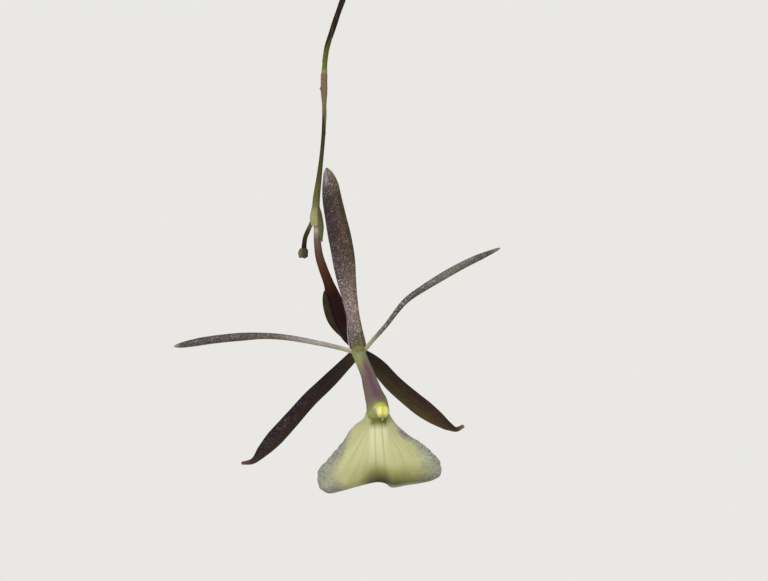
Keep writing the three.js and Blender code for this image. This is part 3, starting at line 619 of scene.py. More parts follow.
# The flower stalk
# A wiry stalk from the top of the tallest cane, arched over and hanging by the bloom's weight. Papery
# sheaths, brown or tan, start at its joints and open towards the bloom, with bare stem below each.

BLOOM = array([-122.0, -30.0, 216.0])  # where the sepals, petals and column meet
STALK = [
    (-30.1, -13.1, 261.6), (-31.2, -13.6, 266.5), (-38, -15, 282), (-51.5, -17.6, 304), (-72, -20, 317),
    (-93, -21.4, 310), (-109, -22, 292), (-118.2, -22, 274),
    *(BLOOM + [
        (-2.05, 8.4, 42.2), (-3, 8.2, 39.4), (-3.87, 7.9, 36.4), (-4.16, 7.6, 33.5), (-4.15, 7, 28.4),
        (-4.33, 6.8, 25), (-4.8, 6.6, 20.6), (-5.08, 6.4, 18.4), (-5.2, 6.3, 16.4),
    ]),
]
STALK_RADIUS = [  # by the distance back from the tip
    (0, 0.47), (1, 0.46), (2.1, 0.43), (3.2, 0.385), (4.4, 0.335), (6.5, 0.265), (9, 0.24), (14, 0.25),
    (16.6, 0.28), (17.3, 0.36), (18.4, 0.3), (21, 0.3), (24, 0.29), (43, 0.34), (44, 0.42), (45, 0.36),
    (71, 0.4), (72, 0.48), (73, 0.4), (101, 0.44), (102, 0.52), (103, 0.44), (133, 0.48), (134, 0.58),
    (135, 0.48), (169, 0.54), (170, 0.64), (171, 0.54), (230, 0.78),
]
SHEATHS = [  # distances back from the tip to joint and mouth, the mouth's overlap on the left (or right
    # if less than 0), half-widths at joint and mouth, and how brown it is
    (17.3, 12.3, -2.6, 0.41, 0.27, 0.0), (44.2, 21.6, 3.2, 0.38, 0.345, 1.0),
    (72.2, 60, 1.2, 0.47, 0.46, 0.6), (102.2, 90, -1.5, 0.52, 0.51, 0.3),
    (134.2, 120, 1.8, 0.58, 0.57, 0.5), (170.2, 154, -2, 0.66, 0.64, 0.2),
]

reach = run_along(smooth_path(STALK, linspace(0, 1, 2000)))[-1]
t = linspace(0, 1, 900)
path = smooth_path(STALK, t)
r = eased(STALK_RADIUS, reach * (1 - t)) * rounded_ends(path, 0.5)
stalk_mesh = closed_mesh(tube(path, r, r, 24), back=(reach * (1 - t))[:, None])

sheath_parts = []
t, a = linspace(0, 1, 110)[:, None], full_turn(28)
for joint, mouth, lap, wide, narrow, brown in SHEATHS:
    slant = abs(lap) * ((1 + np.sign(lap) * cos(a)) / 2) ** 2
    back = joint + (mouth - slant - joint) * t
    taper = ramp((joint - back) / (joint - mouth), 0.3, 0.9)
    swell = wide + (narrow - wide) * taper**2 * (3 - 2 * taper) + 0.012 * sin(2.2 * back + 2 * a)
    if brown == 0:
        swell = swell + 0.14 * bell(back, 15.4, 0.16) * bell(cos(a), 1, 0.12)  # a scar
    swell = swell * sqrt(maximum(ramp(t, 0, 0.02), 0.1)) * (0.7 + 0.3 * ramp(t, 1, 0.992))
    centre = smooth_path(STALK, 1 - back / reach)
    ahead = smooth_path(STALK, 1 - (back - 0.1) / reach) - centre
    side = unit(cross(ahead, FRONT))
    out = unit(cross(side, ahead))
    rings = centre + swell[..., None] * (cos(a)[:, None] * side + sin(a)[:, None] * out)
    sheath_parts.append(closed_mesh(rings, brown=brown, along=t, turned=cos(a)))

stalk_skin, node, place = new_finish("stalk_wiry")
# Wiry green tissue with a thin cuticle, flushed olive and brown in the light, and finely ribbed along
# its length. It is greenest just under a joint, where it grew last, and palest behind the bloom.
share = node("MapRange", "back", 0, 30)
skin = node("ValToRGB", share, stops={
    0: "#8C8C62", 0.03: "#72733F", 0.14: "#4E4A27", 0.42: "#281F13", 0.565: "#565522",
    0.58: "#868745", 0.6: "#656B26", 0.7: "#414913", 0.74: "#2D2217",
})
ribs = fibres(node, place, (5200, 5200, 320), 2)
shadow = node("MapRange", ribs, 0.3, 0.7, 0.75, 1.2)
skin = node("VectorMath SCALE", skin, Scale=shadow)
coat(node, skin, ribs, 0.4, 0.00005, roughness=0.55, specular=0.12)
make_piece("stalk", [stalk_mesh], stalk_skin, "peduncle")

papery, node, place = new_finish("sheath_papery")
# Dead, parchment-thin sheath: tan or dark brown, with fibres 0.2 mm apart, mauve-grey over the joint
# and a pale torn mouth.
fibre = fibres(node, place, (5000, 5000, 260), 3)
tan = node("ValToRGB", fibre, stops={0.3: "#63552F", 0.5: "#7C6A42", 0.7: "#918056"})
mauve = node("MapRange", node("Math MULTIPLY_ADD", "turned", -0.22, "along"), 0.7, 0.15, 0, 0.6)
tan = node("Mix", mauve, tan, "#7C6A5C")
dark = node("ValToRGB", fibre, stops={0.3: "#1D150E", 0.52: "#2D2117", 0.72: "#493A29"})
skin = node("Mix", "brown", tan, dark)
torn = node("MapRange", "along", 0.975, 0.99, 0, 0.8)
colour = node("Mix", torn, skin, "#7E6E50")
coat(node, colour, fibre, 0.6, 0.00006, roughness=0.75, specular=0.15)
make_piece("stalk_sheaths", sheath_parts, papery, "peduncle")

# Bracts and the spent flower
# Two papery, pointed bracts clasp the stalk's end and hold the foot of the pedicel, one pale green, one
# olive-tan. Beside them hangs the stalk of an earlier flower, which withered and left a knob.

BRACTS = [  # spine from the bloom, widths along it, roll, the way it faces, how brown it is, the solid
    ([(-4.85, 5.82, 17.4), (-4.66, 5.69, 16.2), (-4.5, 5.63, 14.9), (-4.46, 5.67, 13.8),
      (-4.4, 5.7, 13.05)],
     [(0, 0.3), (0.25, 0.62), (0.55, 0.7), (0.8, 0.48), (0.92, 0.26), (1, 0.16)],
     70, (0.3, -0.95, 0), 1.0, "floral_bract_upper"),
    ([(-5.1, 5.88, 18), (-5.2, 5.76, 17), (-5.28, 5.63, 16), (-5.2, 5.6, 14.95)],
     [(0, 0.66), (0.25, 0.86), (0.5, 1.02), (0.75, 1.12), (0.93, 1.0), (1, 0.7)],
     140, (0, -1, 0), 0.0, "floral_bract_lower"),
]
STUB = BLOOM + [
    (-5.5, 6, 15.9), (-5.8, 6.1, 15.1), (-6.13, 6.15, 14.36), (-6.46, 6.1, 13.5), (-6.57, 6.05, 12.66),
    (-6.6, 6, 12.1),
]
KNOB = BLOOM + (-6.7, 6, 11.65)


def unit_ball(steps, least):
    """A ball of radius 1, whose end rings keep a radius of sqrt(least)."""
    rise = linspace(-1, 1, steps)
    return turned(stack([sqrt(maximum(1 - rise**2, least)), rise], -1), steps)


def blade(spine, widths, face, roll, thick, rows, around, relief=None):
    """A thin blade bent across into an arc of `roll` degrees: with r = width / 2 / sin(roll / 2) and q
    from -1 to 1, its middle lies at r sin(q roll / 2) across and r cos(q roll / 2) - r outwards, and its
    two faces stand off by thick |sin a|^0.7 / 2, q = cos a. relief(t, q, wide) lifts its front."""
    t = linspace(0, 1, rows)
    path = smooth_path(BLOOM + spine, t)
    a = full_turn(around)
    q = cos(a)[None]
    wide = eased(widths, t)[:, None]
    half = radians(roll) / 2
    bend = wide / 2 / sin(half)
    skin = thick / 2 * minimum(1, wide / 1.1) * np.sign(sin(a)) * abs(sin(a)) ** 0.7
    if relief:
        skin = skin + relief(t[:, None], q, wide) * (sin(a) > 0)
    rings = carried(path, array(face, float), (bend + skin) * sin(q * half),
                    (bend + skin) * cos(q * half) - bend)
    return closed_mesh(rings, along=t[:, None], across=q)


bract_skin, node, place = new_finish("bract_papery")
# Papery bract: pale yellow-green while it is fresh, tan when dry, with darker veins 0.1 to 0.2 mm apart
# and a whitish veil where it clasps the stalk.
vein = node("Math SINE", node("Math MULTIPLY", "across", 17))
vein = node("MapRange", vein, -1, 1, 0, 0.25)
fresh = node("ValToRGB", "along", stops={
    0: "#6E6F40", 0.2: "#76774A", 0.34: "#95906C", 0.45: "#A29C74", 0.65: "#A9A674",
    0.85: "#A8A176", 1: "#B3AA88",
})
dry = node("ValToRGB", "along", stops={
    0: "#5C4A38", 0.3: "#5E4E36", 0.55: "#65603A", 0.85: "#6A6440", 1: "#56522E",
})
skin = node("Mix", "brown", fresh, dry)
colour = node("Mix", vein, skin, "#585A30")
cells = node("TexNoise", place, Scale=5200)
coat(node, colour, cells, 0.5, 0.00004, roughness=0.6, specular=0.15)
for spine, widths, roll, face, dryness, solid in BRACTS:
    bract = blade(spine, widths, face, roll, thick=0.3, rows=70, around=40)
    bract["marks"]["brown"] = np.full(len(bract["points"]), dryness)
    make_piece(solid.replace("floral_", ""), [bract], bract_skin, solid)

t = linspace(0, 1, 70)
path = smooth_path(STUB, t)
r = (0.25 + 0.05 * t) * (1 + 0.06 * ripple(path, 1.6)) * rounded_ends(path, 0.25)
rings = tube(path, r, r, 24)
stub_parts = [closed_mesh(rings, knob=0.0, leftward=0.0, along=t[:, None])]
ball = unit_ball(48, 0.002)
dent = 0.3 * bell(ball[..., 0], -0.1, 0.28) * bell(ball[..., 2], -0.95, 0.5)
boxy = (ball**4).sum(-1) ** -0.12
lump = 0.61 * boxy * (1 + 0.07 * ripple(ball * 4, 3.5, 3) - 0.6 * dent)
stub_parts.append(closed_mesh(
    ball * lump[..., None] * (0.97, 0.95, 1.05) + KNOB, knob=1.0, leftward=-ball[..., 0], along=1.0
))

withered, node, place = new_finish("stub_withered")
# Withered flower stalk: dull olive going brown and wrinkled, its knob dusty, pale green on one side and
# tan on the other, where the flower broke away.
wrinkle = node("TexNoise", place, Scale=2600, Detail=4)
tone = node("MapRange", wrinkle, 0.3, 0.7, 0.8, 1.2)
stem = node("ValToRGB", "along", stops={
    0: "#6C6A38", 0.25: "#5A542C", 0.5: "#3E371D", 0.75: "#2C2417", 1: "#241C15",
})
end = node("MapRange", "leftward", -0.1, 0.6)
end = node("Mix", end, "#4E4239", "#6A6648")
skin = node("Mix", "knob", stem, end)
colour = node("VectorMath SCALE", skin, Scale=tone)
coat(node, colour, wrinkle, 0.8, 0.0001, roughness=0.85, specular=0.1)
make_piece("spent_stub", stub_parts, withered, "spent_flower_stub")

# Pedicel and ovary
# The bloom's own stalk, which widens into the ovary behind the sepals. It goes from cream and dusty pink
# through brown to a dark maroon, and carries a tan crest down its outer side.

PEDICEL = [
    (-5.0, 6.25, 16.7), (-5.02, 6.2, 15.3), (-5.0, 6.25, 14), (-4.94, 6.2, 12.75), (-4.72, 6.15, 11.25),
    (-4.25, 6.05, 9.75), (-3.69, 5.8, 8.28), (-3.27, 5.5, 7.08), (-2.88, 5.1, 5.88), (-2.5, 4.5, 4.5),
    (-1.95, 3.8, 3.0), (-1.15, 2.95, 1.5), (-0.05, 1.85, 0.3),
]
PEDICEL_WIDTH = [  # by the height above the bloom's middle
    (0.3, 0.5), (1.5, 0.72), (3, 0.9), (4.5, 0.96), (5.88, 0.94), (7.08, 0.77), (8.28, 0.6),
    (9.75, 0.55), (11.25, 0.5), (12.75, 0.44), (14.5, 0.41), (16.7, 0.36),
]
CREST = [
    (-3.85, 5.5, 7.2), (-3.85, 5.1, 6.1), (-3.6, 4.6, 4.9), (-3.1, 3.9, 3.4), (-2.35, 3.2, 2.2),
    (-1.5, 2.4, 1.2),
]

t = linspace(0, 1, 220)
path = smooth_path(BLOOM + PEDICEL, t)
angle = full_turn(60)
ribbed = 1 + 0.02 * cos(6 * angle)[None] * ramp(t, 0.5, 0.7)[:, None]
wide = eased(PEDICEL_WIDTH, path[:, 2] - BLOOM[2])[:, None] * ribbed * rounded_ends(path, 0.25)[:, None]
rings = carried(path, FRONT, wide * cos(angle), wide * sin(angle))
ovary_parts = [closed_mesh(rings, along=t[:, None], crest=0.0, leftward=cos(angle)[None])]
path = smooth_path(BLOOM + CREST, t)
wide = (0.2 + 0.4 * sin(pi * minimum(1, t + 0.1))) * rounded_ends(path, 0.3)
crest_rings = tube(path, wide, wide, 32)
ovary_parts.append(closed_mesh(crest_rings, along=0.6 + 0.4 * t[:, None], crest=1.0, leftward=0.0))

ovary_skin, node, place = new_finish("ovary_maroon")
# Smooth cuticle over cells full of red-purple sap. Near the bracts the sap is thin and the skin cream;
# on the ovary it is nearly black, redder on the side away from the crest, which is dry and tan-green.
mottle = node("TexNoise", place, Scale=1500, Detail=4)
sap = node("Math MULTIPLY_ADD", mottle, 0.06, "along")
skin = node("ValToRGB", sap, stops={
    0.06: "#B0A688", 0.15: "#B6AB93", 0.21: "#765E57", 0.31: "#5F4337", 0.41: "#4F3220",
    0.51: "#412315", 0.62: "#260F10", 0.8: "#220C12", 1: "#321A1A",
})
red = node("MapRange", "leftward", -0.1, -0.9, 0, 0.7)
deep = node("MapRange", "along", 0.42, 0.6)
red = node("Math MULTIPLY", red, deep)
skin = node("Mix", red, skin, "#3A1A12")
ridge = node("ValToRGB", mottle, stops={0.35: "#2C2417", 0.65: "#3C3223"})
colour = node("Mix", "crest", skin, ridge)
coat(node, colour, mottle, 0.3, 0.00008, roughness=0.6, specular=0.06)
make_piece("pedicel", ovary_parts, ovary_skin, "pedicel_ovary")

# Sepals
# Three fleshy, purple-brown sepals: a long one standing up with its margins rolled back, and two that
# spread down and back to a thin point. Their skin is set with papillae that carry painted glints like
# sugar.

DORSAL_SPINE = [
    (0.12, 0.5, -0.2), (-0.06, 0.45, 0.6), (-0.31, 0.4, 1.8), (-0.625, 0.35, 4.2), (-1.38, 0.15, 8.4),
    (-1.9, 0, 12), (-2.62, -0.1, 15.6), (-3.09, -0.05, 18), (-3.4, 0.15, 20.3), (-3.8, 0.55, 21.9),
]
DORSAL_WIDTH = [
    (0, 1.6), (0.036, 1.95), (0.058, 1.96), (0.09, 1.86), (0.145, 1.62), (0.2, 1.46), (0.28, 1.68),
    (0.39, 2.22), (0.5, 2.62), (0.61, 2.67), (0.715, 2.47), (0.825, 2.22), (0.9, 1.86), (0.955, 1.2),
    (0.985, 0.65), (1, 0.25),
]


def papillate(name, one_side, other_side, glints, density, grain_mm=0.13):
    """The skin of a sepal or petal. Sap colours one_side and other_side run along the blade, blend
    across it and are faintly streaked; one papilla to each cell of grain_mm gets a painted glint, in the
    first colour of glints on one side and the second on the other, by chance and in patches of 0.9 mm, as
    strongly as the grey stops of density along the blade. The marks rolled, crease and gold tint a rolled
    margin lilac, the crease beside it dark with painted shade, and a furrow gold-brown."""
    finish, node, place = new_finish(name)
    mottle = node("TexNoise", place, Scale=900, Detail=5)
    drift = node("Math MULTIPLY_ADD", mottle, 0.7, "across")
    half = node("MapRange", drift, -0.35, 1.05, interpolation_type="SMOOTHSTEP")
    near = node("ValToRGB", "along", stops=one_side)
    far = node("ValToRGB", "along", stops=other_side)
    sap = node("Mix", half, near, far)
    # The crease's dark tint is painted shade.
    for mark, tint in (("rolled", "#BCA8B4"), ("crease", "#1C0F12"), ("gold", "#5A4327")):
        sap = node("Mix", mark, sap, tint)
    streak = node("CombineXYZ", "across", "along", mottle)
    streak = fibres(node, streak, (7, 5, 1.5), 3)
    streak = node("MapRange", streak, 0.3, 0.7, 0.68, 1.25)
    sap = node("VectorMath SCALE", sap, Scale=streak)
    cell = node("TexVoronoi", place, Scale=1 / (grain_mm * MM), out="Distance")
    dot = node("MapRange", cell, 0.65, 0.2)
    chance = node("Math POWER", node("SeparateXYZ", cell.node.outputs["Color"], out="X"), 2)
    patch = node("MapRange", node("TexNoise", place, Scale=1100, Detail=3), 0.34, 0.66, 0.3)
    # Painted glints: a pale colour mixed into the sap on papillae picked by chance.
    grain = node("Mix", half, glints[0], glints[1])
    glint = dot
    for share in (patch, chance, node("ValToRGB", "along", stops=density), 1.7):
        glint = node("Math MULTIPLY", glint, share)
    colour = node("Mix", glint, sap, grain)
    coat(node, colour, dot, 0.4, 0.00003, roughness=0.55, specular=0.15)
    return finish


def dorsal_relief(t, q, wide):
    """A furrow down the middle, deepest at the tip, a slow undulation of the face, and near the foot a
    crease that sets the rolled margins off."""
    groove = -0.16 * bell(q * wide, 0, 0.34) * maximum(ramp(t, 0.55, 0.95), 0.1)
    foot = ramp(t, 0.01, 0.04) * ramp(t, 0.2, 0.14)
    crease = -0.14 * bell(abs(q), 0.69, 0.07) * foot * where(q < 0, 1, t < 0.1)
    return groove + crease + 0.04 * sin(9 * q + 14 * t) * (1 - q**2)


# Purple sap over green: browner on the right, olive at the foot, a gold-brown furrow at the tip.
dorsal_skin = papillate(
    "sepal_dorsal_papillate",
    {0: "#7A7448", 0.07: "#574A36", 0.21: "#7C6864", 0.42: "#4A3834", 0.6: "#3B2C27",
     0.82: "#2A1E1F", 0.92: "#40373B", 1: "#6C6468"},
    {0: "#7A7448", 0.08: "#564C38", 0.22: "#866F69", 0.4: "#66574A", 0.52: "#4A3A2D",
     0.82: "#463728", 0.92: "#504636", 1: "#78745C"},
    ("#D8D1DE", "#D6CAB0"),
    {0: "#181818", 0.1: "#D0D0D0", 0.16: "#FFFFFF", 0.3: "#F8F8F8", 0.5: "#949494",
     0.78: "#7C7C7C", 0.9: "#C0C0C0", 1: "#E0E0E0"},
)
dorsal = blade(
    DORSAL_SPINE, DORSAL_WIDTH, FRONT, roll=110, thick=0.55, rows=260, around=96, relief=dorsal_relief,
)
marks = dorsal["marks"]
t, q = marks["along"], marks["across"]
foot = ramp(t, 0.01, 0.03) * ramp(t, 0.16, 0.13) * where(q < 0, 1, 0.5 * (t < 0.09))
lilac = 0.4 * bell(q, -0.35, 0.2) * ramp(t, 0.88, 0.94)
marks["rolled"] = maximum(foot * ramp(abs(q), 0.76, 0.81), lilac)
# Painted shade in the crease beside the rolled margin, near the foot.
marks["crease"] = foot * bell(abs(q), 0.66, 0.09)
marks["gold"] = 0.9 * bell(q, 0, 0.11) * ramp(t, 0.84, 0.92)
make_piece("sepal_dorsal", [dorsal], dorsal_skin, "dorsal_sepal")

# Darker than the upright one: purple-brown above, olive below, brown-pink at the thin point.
SIDE_SEPALS = {  # spine and widths, the way it faces, and the colours of its skin as papillate has them
    "left": (
        [(-0.2, 0.75, -0.4), (-3.5, 3, -3.8), (-5.85, 4.6, -6.07), (-7.93, 6, -8.42),
         (-9.92, 7.4, -10.63), (-11.5, 8.4, -12.32), (-12.9, 9.2, -13.7), (-14.3, 9.8, -13.98)],
        [(0, 1.2), (0.1, 1.4), (0.24, 1.7), (0.48, 1.85), (0.72, 2), (0.83, 1.52), (0.915, 0.74),
         (1, 0.34)],
        (0.3, -1, 0.1),
        {0: "#423724", 0.1: "#352C1B", 0.25: "#2C2116", 0.5: "#2F2016", 0.7: "#332317", 0.85: "#35251B",
         0.93: "#473028", 1: "#6E5248"},
        {0: "#372927", 0.08: "#231815", 0.25: "#1D1111", 0.5: "#1F1114", 0.7: "#1F1216", 0.85: "#201419",
         0.93: "#382225", 1: "#684A4A"},
        ("#84705A", "#BEBACB"),
        {0: "#303030", 0.25: "#303030", 0.4: "#707070", 0.6: "#808080", 0.8: "#848484", 0.9: "#484848",
         1: "#101010"},
    ),
    "right": (
        [(0.35, 0.75, -0.4), (2.28, 2.9, -2.05), (4.12, 5, -4.1), (6.08, 7.2, -5.87), (8, 9.3, -7.43),
         (9.78, 11.2, -8.73), (11.1, 12.6, -9.6), (12.05, 13.6, -9.95), (12.93, 14.2, -9.55)],
        [(0, 1.2), (0.1, 1.7), (0.22, 2), (0.44, 2.15), (0.62, 2.22), (0.74, 1.9), (0.86, 1.1),
         (0.93, 0.62), (1, 0.42)],
        (-0.3, -1, 0.1),
        {0: "#291E15", 0.15: "#291B15", 0.4: "#36241A", 0.7: "#3C2821", 0.88: "#3A2622", 0.95: "#4C312C",
         1: "#83625A"},
        {0: "#302C10", 0.15: "#373212", 0.4: "#493D17", 0.7: "#534519", 0.88: "#4E401A", 0.95: "#523C22",
         1: "#8A6C50"},
        ("#B4A8B4", "#96845A"),
        {0: "#303030", 0.3: "#505050", 0.8: "#686868", 0.9: "#404040", 1: "#101010"},
    ),
}
for side, (spine, widths, face, *colours) in SIDE_SEPALS.items():
    sepal = blade(spine, widths, face, roll=80, thick=0.55, rows=200, around=72)
    sepal_skin = papillate(f"sepal_{side}_papillate", *colours)
    make_piece(f"sepal_{side}", [sepal], sepal_skin, f"lateral_sepal_{side}")

# Petals
# Two thread-thin petals, widest past their middle and bluntly pointed. They are cream where they join
# the column and mauve-grey further out, under the same papillae with painted glints.

PETALS = {  # spine and widths, and the colours of its skin
    "left": (
        [(-0.5, 0.3, -0.25), (-2.2, 0, 0.25), (-5.2, -0.5, 0.92), (-8.5, -0.75, 1.5), (-11.6, -0.9, 1.7),
         (-17.2, -0.6, 1.27), (-22.1, 0.3, 0.42)],
        [(0, 0.48), (0.2, 0.56), (0.5, 0.72), (0.65, 0.92), (0.85, 0.88), (0.94, 0.68), (0.985, 0.4),
         (1, 0.15)],
        {0: "#C0BA8E", 0.1: "#988D7A", 0.22: "#9A8F82", 0.44: "#5A5045", 0.6: "#4A4037", 0.96: "#474136",
         1: "#A09E7C"},
        {0: "#CCC8A8", 0.1: "#A0968C", 0.22: "#A39998", 0.44: "#5E5352", 0.6: "#4B4143", 0.96: "#484348",
         1: "#A09E88"},
        ("#C8BDA0", "#DED8E2"),
    ),
    "right": (
        [(0.72, 0.35, -0.15), (1.5, 0.1, 0.85), (3.26, -0.2, 2.84), (5.66, -0.3, 5.83), (7.98, -0.2, 7.5),
         (12.76, 0.3, 10.28), (17.1, 1.2, 12.25)],
        [(0, 0.44), (0.2, 0.5), (0.45, 0.72), (0.65, 0.88), (0.85, 0.76), (0.94, 0.5), (0.985, 0.3),
         (1, 0.12)],
        {0: "#C4BF98", 0.07: "#A49C84", 0.15: "#665957", 0.3: "#504643", 0.42: "#4D4643", 0.7: "#6A6567",
         0.93: "#4C4845", 1: "#8A8870"},
        {0: "#B8B282", 0.07: "#928A6C", 0.15: "#584E44", 0.29: "#443D32", 0.41: "#48433A",
         0.66: "#68614E", 0.93: "#48472F", 1: "#8A8870"},
        ("#DED8E2", "#C8BDA0"),
    ),
}
PETAL_DENSITY = {
    0: "#303030", 0.14: "#FFFFFF", 0.35: "#E8E8E8", 0.6: "#B8B8B8", 0.9: "#C0C0C0", 1: "#505050",
}

for side, (spine, widths, *colours) in PETALS.items():
    petal = blade(spine, widths, FRONT, roll=90, thick=0.42, rows=240, around=48)
    petal_skin = papillate(f"petal_{side}_papillate", *colours, PETAL_DENSITY, grain_mm=0.12)
    make_piece(f"petal_{side}_blade", [petal], petal_skin, f"petal_{side}")

# The column
# The fleshy rod that carries the pollen and joins the lip near its end, club-shaped and slightly bowed.
# Yellow-green at its root and end, mauve between, with a magenta stripe, smooth as wax.

COLUMN_SPINE = [
    (-0.03, -0.1, 0.4), (0.11, -0.5, -0.33), (0.23, -0.9, -0.71), (0.6, -1.35, -1.57),
    (1.18, -2.2, -2.96), (1.55, -2.9, -4.14), (1.8, -3.4, -4.92), (2.07, -3.95, -5.7),
    (2.26, -4.3, -6.22), (2.41, -4.75, -7.27), (2.5, -5, -8.5),
]
COLUMN_WIDTH = [  # by the drop below the bloom's middle
    (-0.4, 0.5), (-0.3, 0.68), (-0.1, 0.8), (0.33, 0.84), (0.71, 0.8), (1.57, 0.79), (2.96, 0.83),
    (4.14, 0.985), (4.92, 1.07), (5.7, 1.205), (6.22, 1.285), (6.7, 1.33), (7.27, 1.36), (7.7, 1.28),
    (8.05, 1.12), (8.3, 0.84), (8.45, 0.48), (8.5, 0.25),
]
COLUMN_DEPTH = [
    (-0.4, 0.35), (-0.2, 0.52), (0.7, 0.62), (3, 0.75), (5, 0.95), (6.3, 1.1), (7, 1.1), (7.7, 1.0),
    (8.05, 0.82), (8.3, 0.52), (8.45, 0.25), (8.5, 0.12),
]
ANTHER = BLOOM + (2.93, -5.78, -7.24)
ANTHER_SIZE = array([0.82, 0.64, 0.84])  # half-sizes across, in depth and up
ANTHER_TILT = 0.35  # radians, its top backwards
GUM, GUM_SIZE = BLOOM + (2.95, -6.02, -8.14), (0.17, 0.12, 0.16)

t = linspace(0, 1, 240)
path = smooth_path(BLOOM + COLUMN_SPINE, t)
drop = (BLOOM[2] - path[:, 2])[:, None]
angle = full_turn(160)
wide, deep = eased(COLUMN_WIDTH, drop), eased(COLUMN_DEPTH, drop)
rings = carried(path, FRONT, wide * cos(angle), deep * sin(angle))
sideways = np.broadcast_to(-cos(angle), rings.shape[:2])  # 1 on the right of the face, -1 on the left
front = sin(angle) > 0
gap = norm((rings - ANTHER) / ANTHER_SIZE, axis=-1)
rings[..., 1] += 0.3 * clip(1.08 - gap, 0, 1)  # the hollow that the cap sits in
stripe = bell(sideways, 0.22 + 0.18 * ramp(drop, 2.6, 0.7), 0.42) * front
stripe = stripe * ramp(drop, 0.7, 2.5) * ramp(drop, 6.7, 5.9)
hood = bell(maximum(gap, 1.05), 1.05, 0.36) * ramp(rings[..., 2] - ANTHER[2], 0.1, 0.5) * front
x, z = rings[..., 0] - BLOOM[0], rings[..., 2] - BLOOM[2]
blot = (bell(x, -0.08, 0.22) * bell(z, -0.12, 0.14) + bell(x, 0.5, 0.24) * bell(z, 0, 0.14)) * front
column_mesh = closed_mesh(rings, drop=drop, sideways=sideways, stripe=stripe, hood=hood, blot=blot)

column_skin, node, place = new_finish("column_waxy")
# Waxy, slightly translucent tissue. The green of its root and end and the mauve of its middle run into
# each other over 1 to 2 mm, and the hood over the anther is yellow.
mottle = node("TexNoise", place, Scale=1300, Detail=4)
blur = node("MapRange", node("Math MULTIPLY_ADD", mottle, 0.5, "drop"), 0.25, 8.75)
left = node("ValToRGB", blur, stops={
    0: "#7A7648", 0.05: "#8A8F5A", 0.18: "#8D925A", 0.29: "#80755F", 0.41: "#6F5D58",
    0.7: "#73635C", 0.79: "#7D735D", 0.885: "#949A5E", 1: "#7C7B44",
})
right = node("ValToRGB", blur, stops={
    0: "#7A7648", 0.1: "#86875C", 0.22: "#807467", 0.31: "#7A6B67", 0.47: "#7C706D",
    0.7: "#6F615E", 0.82: "#8C8A5C", 0.89: "#8E8D58", 1: "#6A683C",
})
half = node("MapRange", "sideways", -0.2, 0.8)
skin = node("Mix", half, left, right)
for mark, tint in (("stripe", "#684A57"), ("blot", "#6C5C42"), ("hood", "#C6C75A")):
    skin = node("Mix", mark, skin, tint)
coat(node, skin, mottle, 0.2, 0.00005, roughness=0.42, specular=0.2, scatter=0.0004)
make_piece("column_rod", [column_mesh], column_skin, "column")

# The anther cap
# The loose cap over the pollen, set in the column's end: two pale cream lobes with a deeper yellow
# furrow between them, a fine brown line where its left lobe meets the column, and a drop of clear gum
# under it.

ball = unit_ball(90, 0.0004)
side, deep, up = (ball[..., k] for k in range(3))
furrow = bell(side, 0.12, 0.24) * (deep < 0)
rim_line = bell(side, -0.86, 0.12) * clip(0.3 - up, 0, 1)
cap = ball * ANTHER_SIZE * (1 - 0.1 * furrow * clip(1.2 - abs(up), 0, 1))[..., None]
c, s = cos(ANTHER_TILT), sin(ANTHER_TILT)
cap = cap @ array([(1, 0, 0), (0, c, -s), (0, s, c)]) + ANTHER
cap_parts = [
    closed_mesh(cap, sideways=side, furrow=furrow, upward=up, rim_line=rim_line, gum=0.0),
    closed_mesh(ball * GUM_SIZE + GUM, sideways=0.0, furrow=0.0, upward=0.0, rim_line=0.0, gum=1.0),
]

anther_skin, node, place = new_finish("anther_waxy")
# Waxy cream-yellow cap, satin, deeper yellow in the furrow where the pollen shows through.
lobes = node("MapRange", "sideways", -0.9, 0.9)
skin = node("ValToRGB", lobes, stops={
    0: "#E6DCA4", 0.3: "#F2EE98", 0.5: "#E4E06A", 0.75: "#EFEB86", 1: "#DCD988",
})
brow = node("MapRange", "upward", 0.4, 0.9, 0, 0.85)
chin = node("MapRange", "upward", -0.4, -0.95, 0, 0.85)
for share, tint in (
    ("furrow", "#D2CF4A"), (brow, "#C6C75A"), (chin, "#94904E"), ("rim_line", "#8C6C44"),
    ("gum", "#97976F"),
):
    skin = node("Mix", share, skin, tint)
cells = node("TexNoise", place, Scale=3500)
coat(node, skin, cells, 0.2, 0.00004, roughness=0.4, specular=0.3, scatter=0.0004)
make_piece("anther", cap_parts, anther_skin, "anther_cap")

# The lip
# The cream-green lip, a two-lobed blade like a whale's tail that hangs from the column's end. A low
# plateau split by two furrows runs down its middle, veins fan out to its lobes, its lower edge curves
# back under painted dark olive shade, and its margins are grey with painted glints.

LIP_LEFT = [
    (0.95, -7.3), (0.78, -7.9), (0.35, -8.35), (-0.25, -8.75), (-0.75, -9.25), (-1.34, -10.06),
    (-1.82, -10.9), (-2.71, -11.85), (-3.43, -12.8), (-4.4, -13.75), (-4.82, -14.7), (-4.85, -15.5),
    (-4.45, -16.55),
]
LIP_RIGHT = [
    (3.75, -7.5), (4.1, -8.1), (4.55, -8.7), (5.12, -9.25), (6.07, -10.03), (6.7, -10.48), (7.42, -10.85),
    (8.42, -11.7), (9.42, -12.65), (9.92, -13.6), (10.02, -14.3), (9.65, -15.1),
]
LIP_LOWER = [
    (-4.45, -16.55), (-3.5, -17.05), (-2, -16.78), (-0.35, -16.32), (1.4, -15.86), (2.4, -15.7),
    (3.3, -15.86), (4, -16.33), (5.8, -16.1), (7.5, -15.82), (8.8, -15.52), (9.65, -15.1),
]
LIP_THICK, LIP_HEIGHT = 0.5, 8.5
PLATEAU = (1.37, 3.62)  # its left and right side, as seen from the front
VEIN_ROOT = (2.5, -6.9)  # where the veins spread from
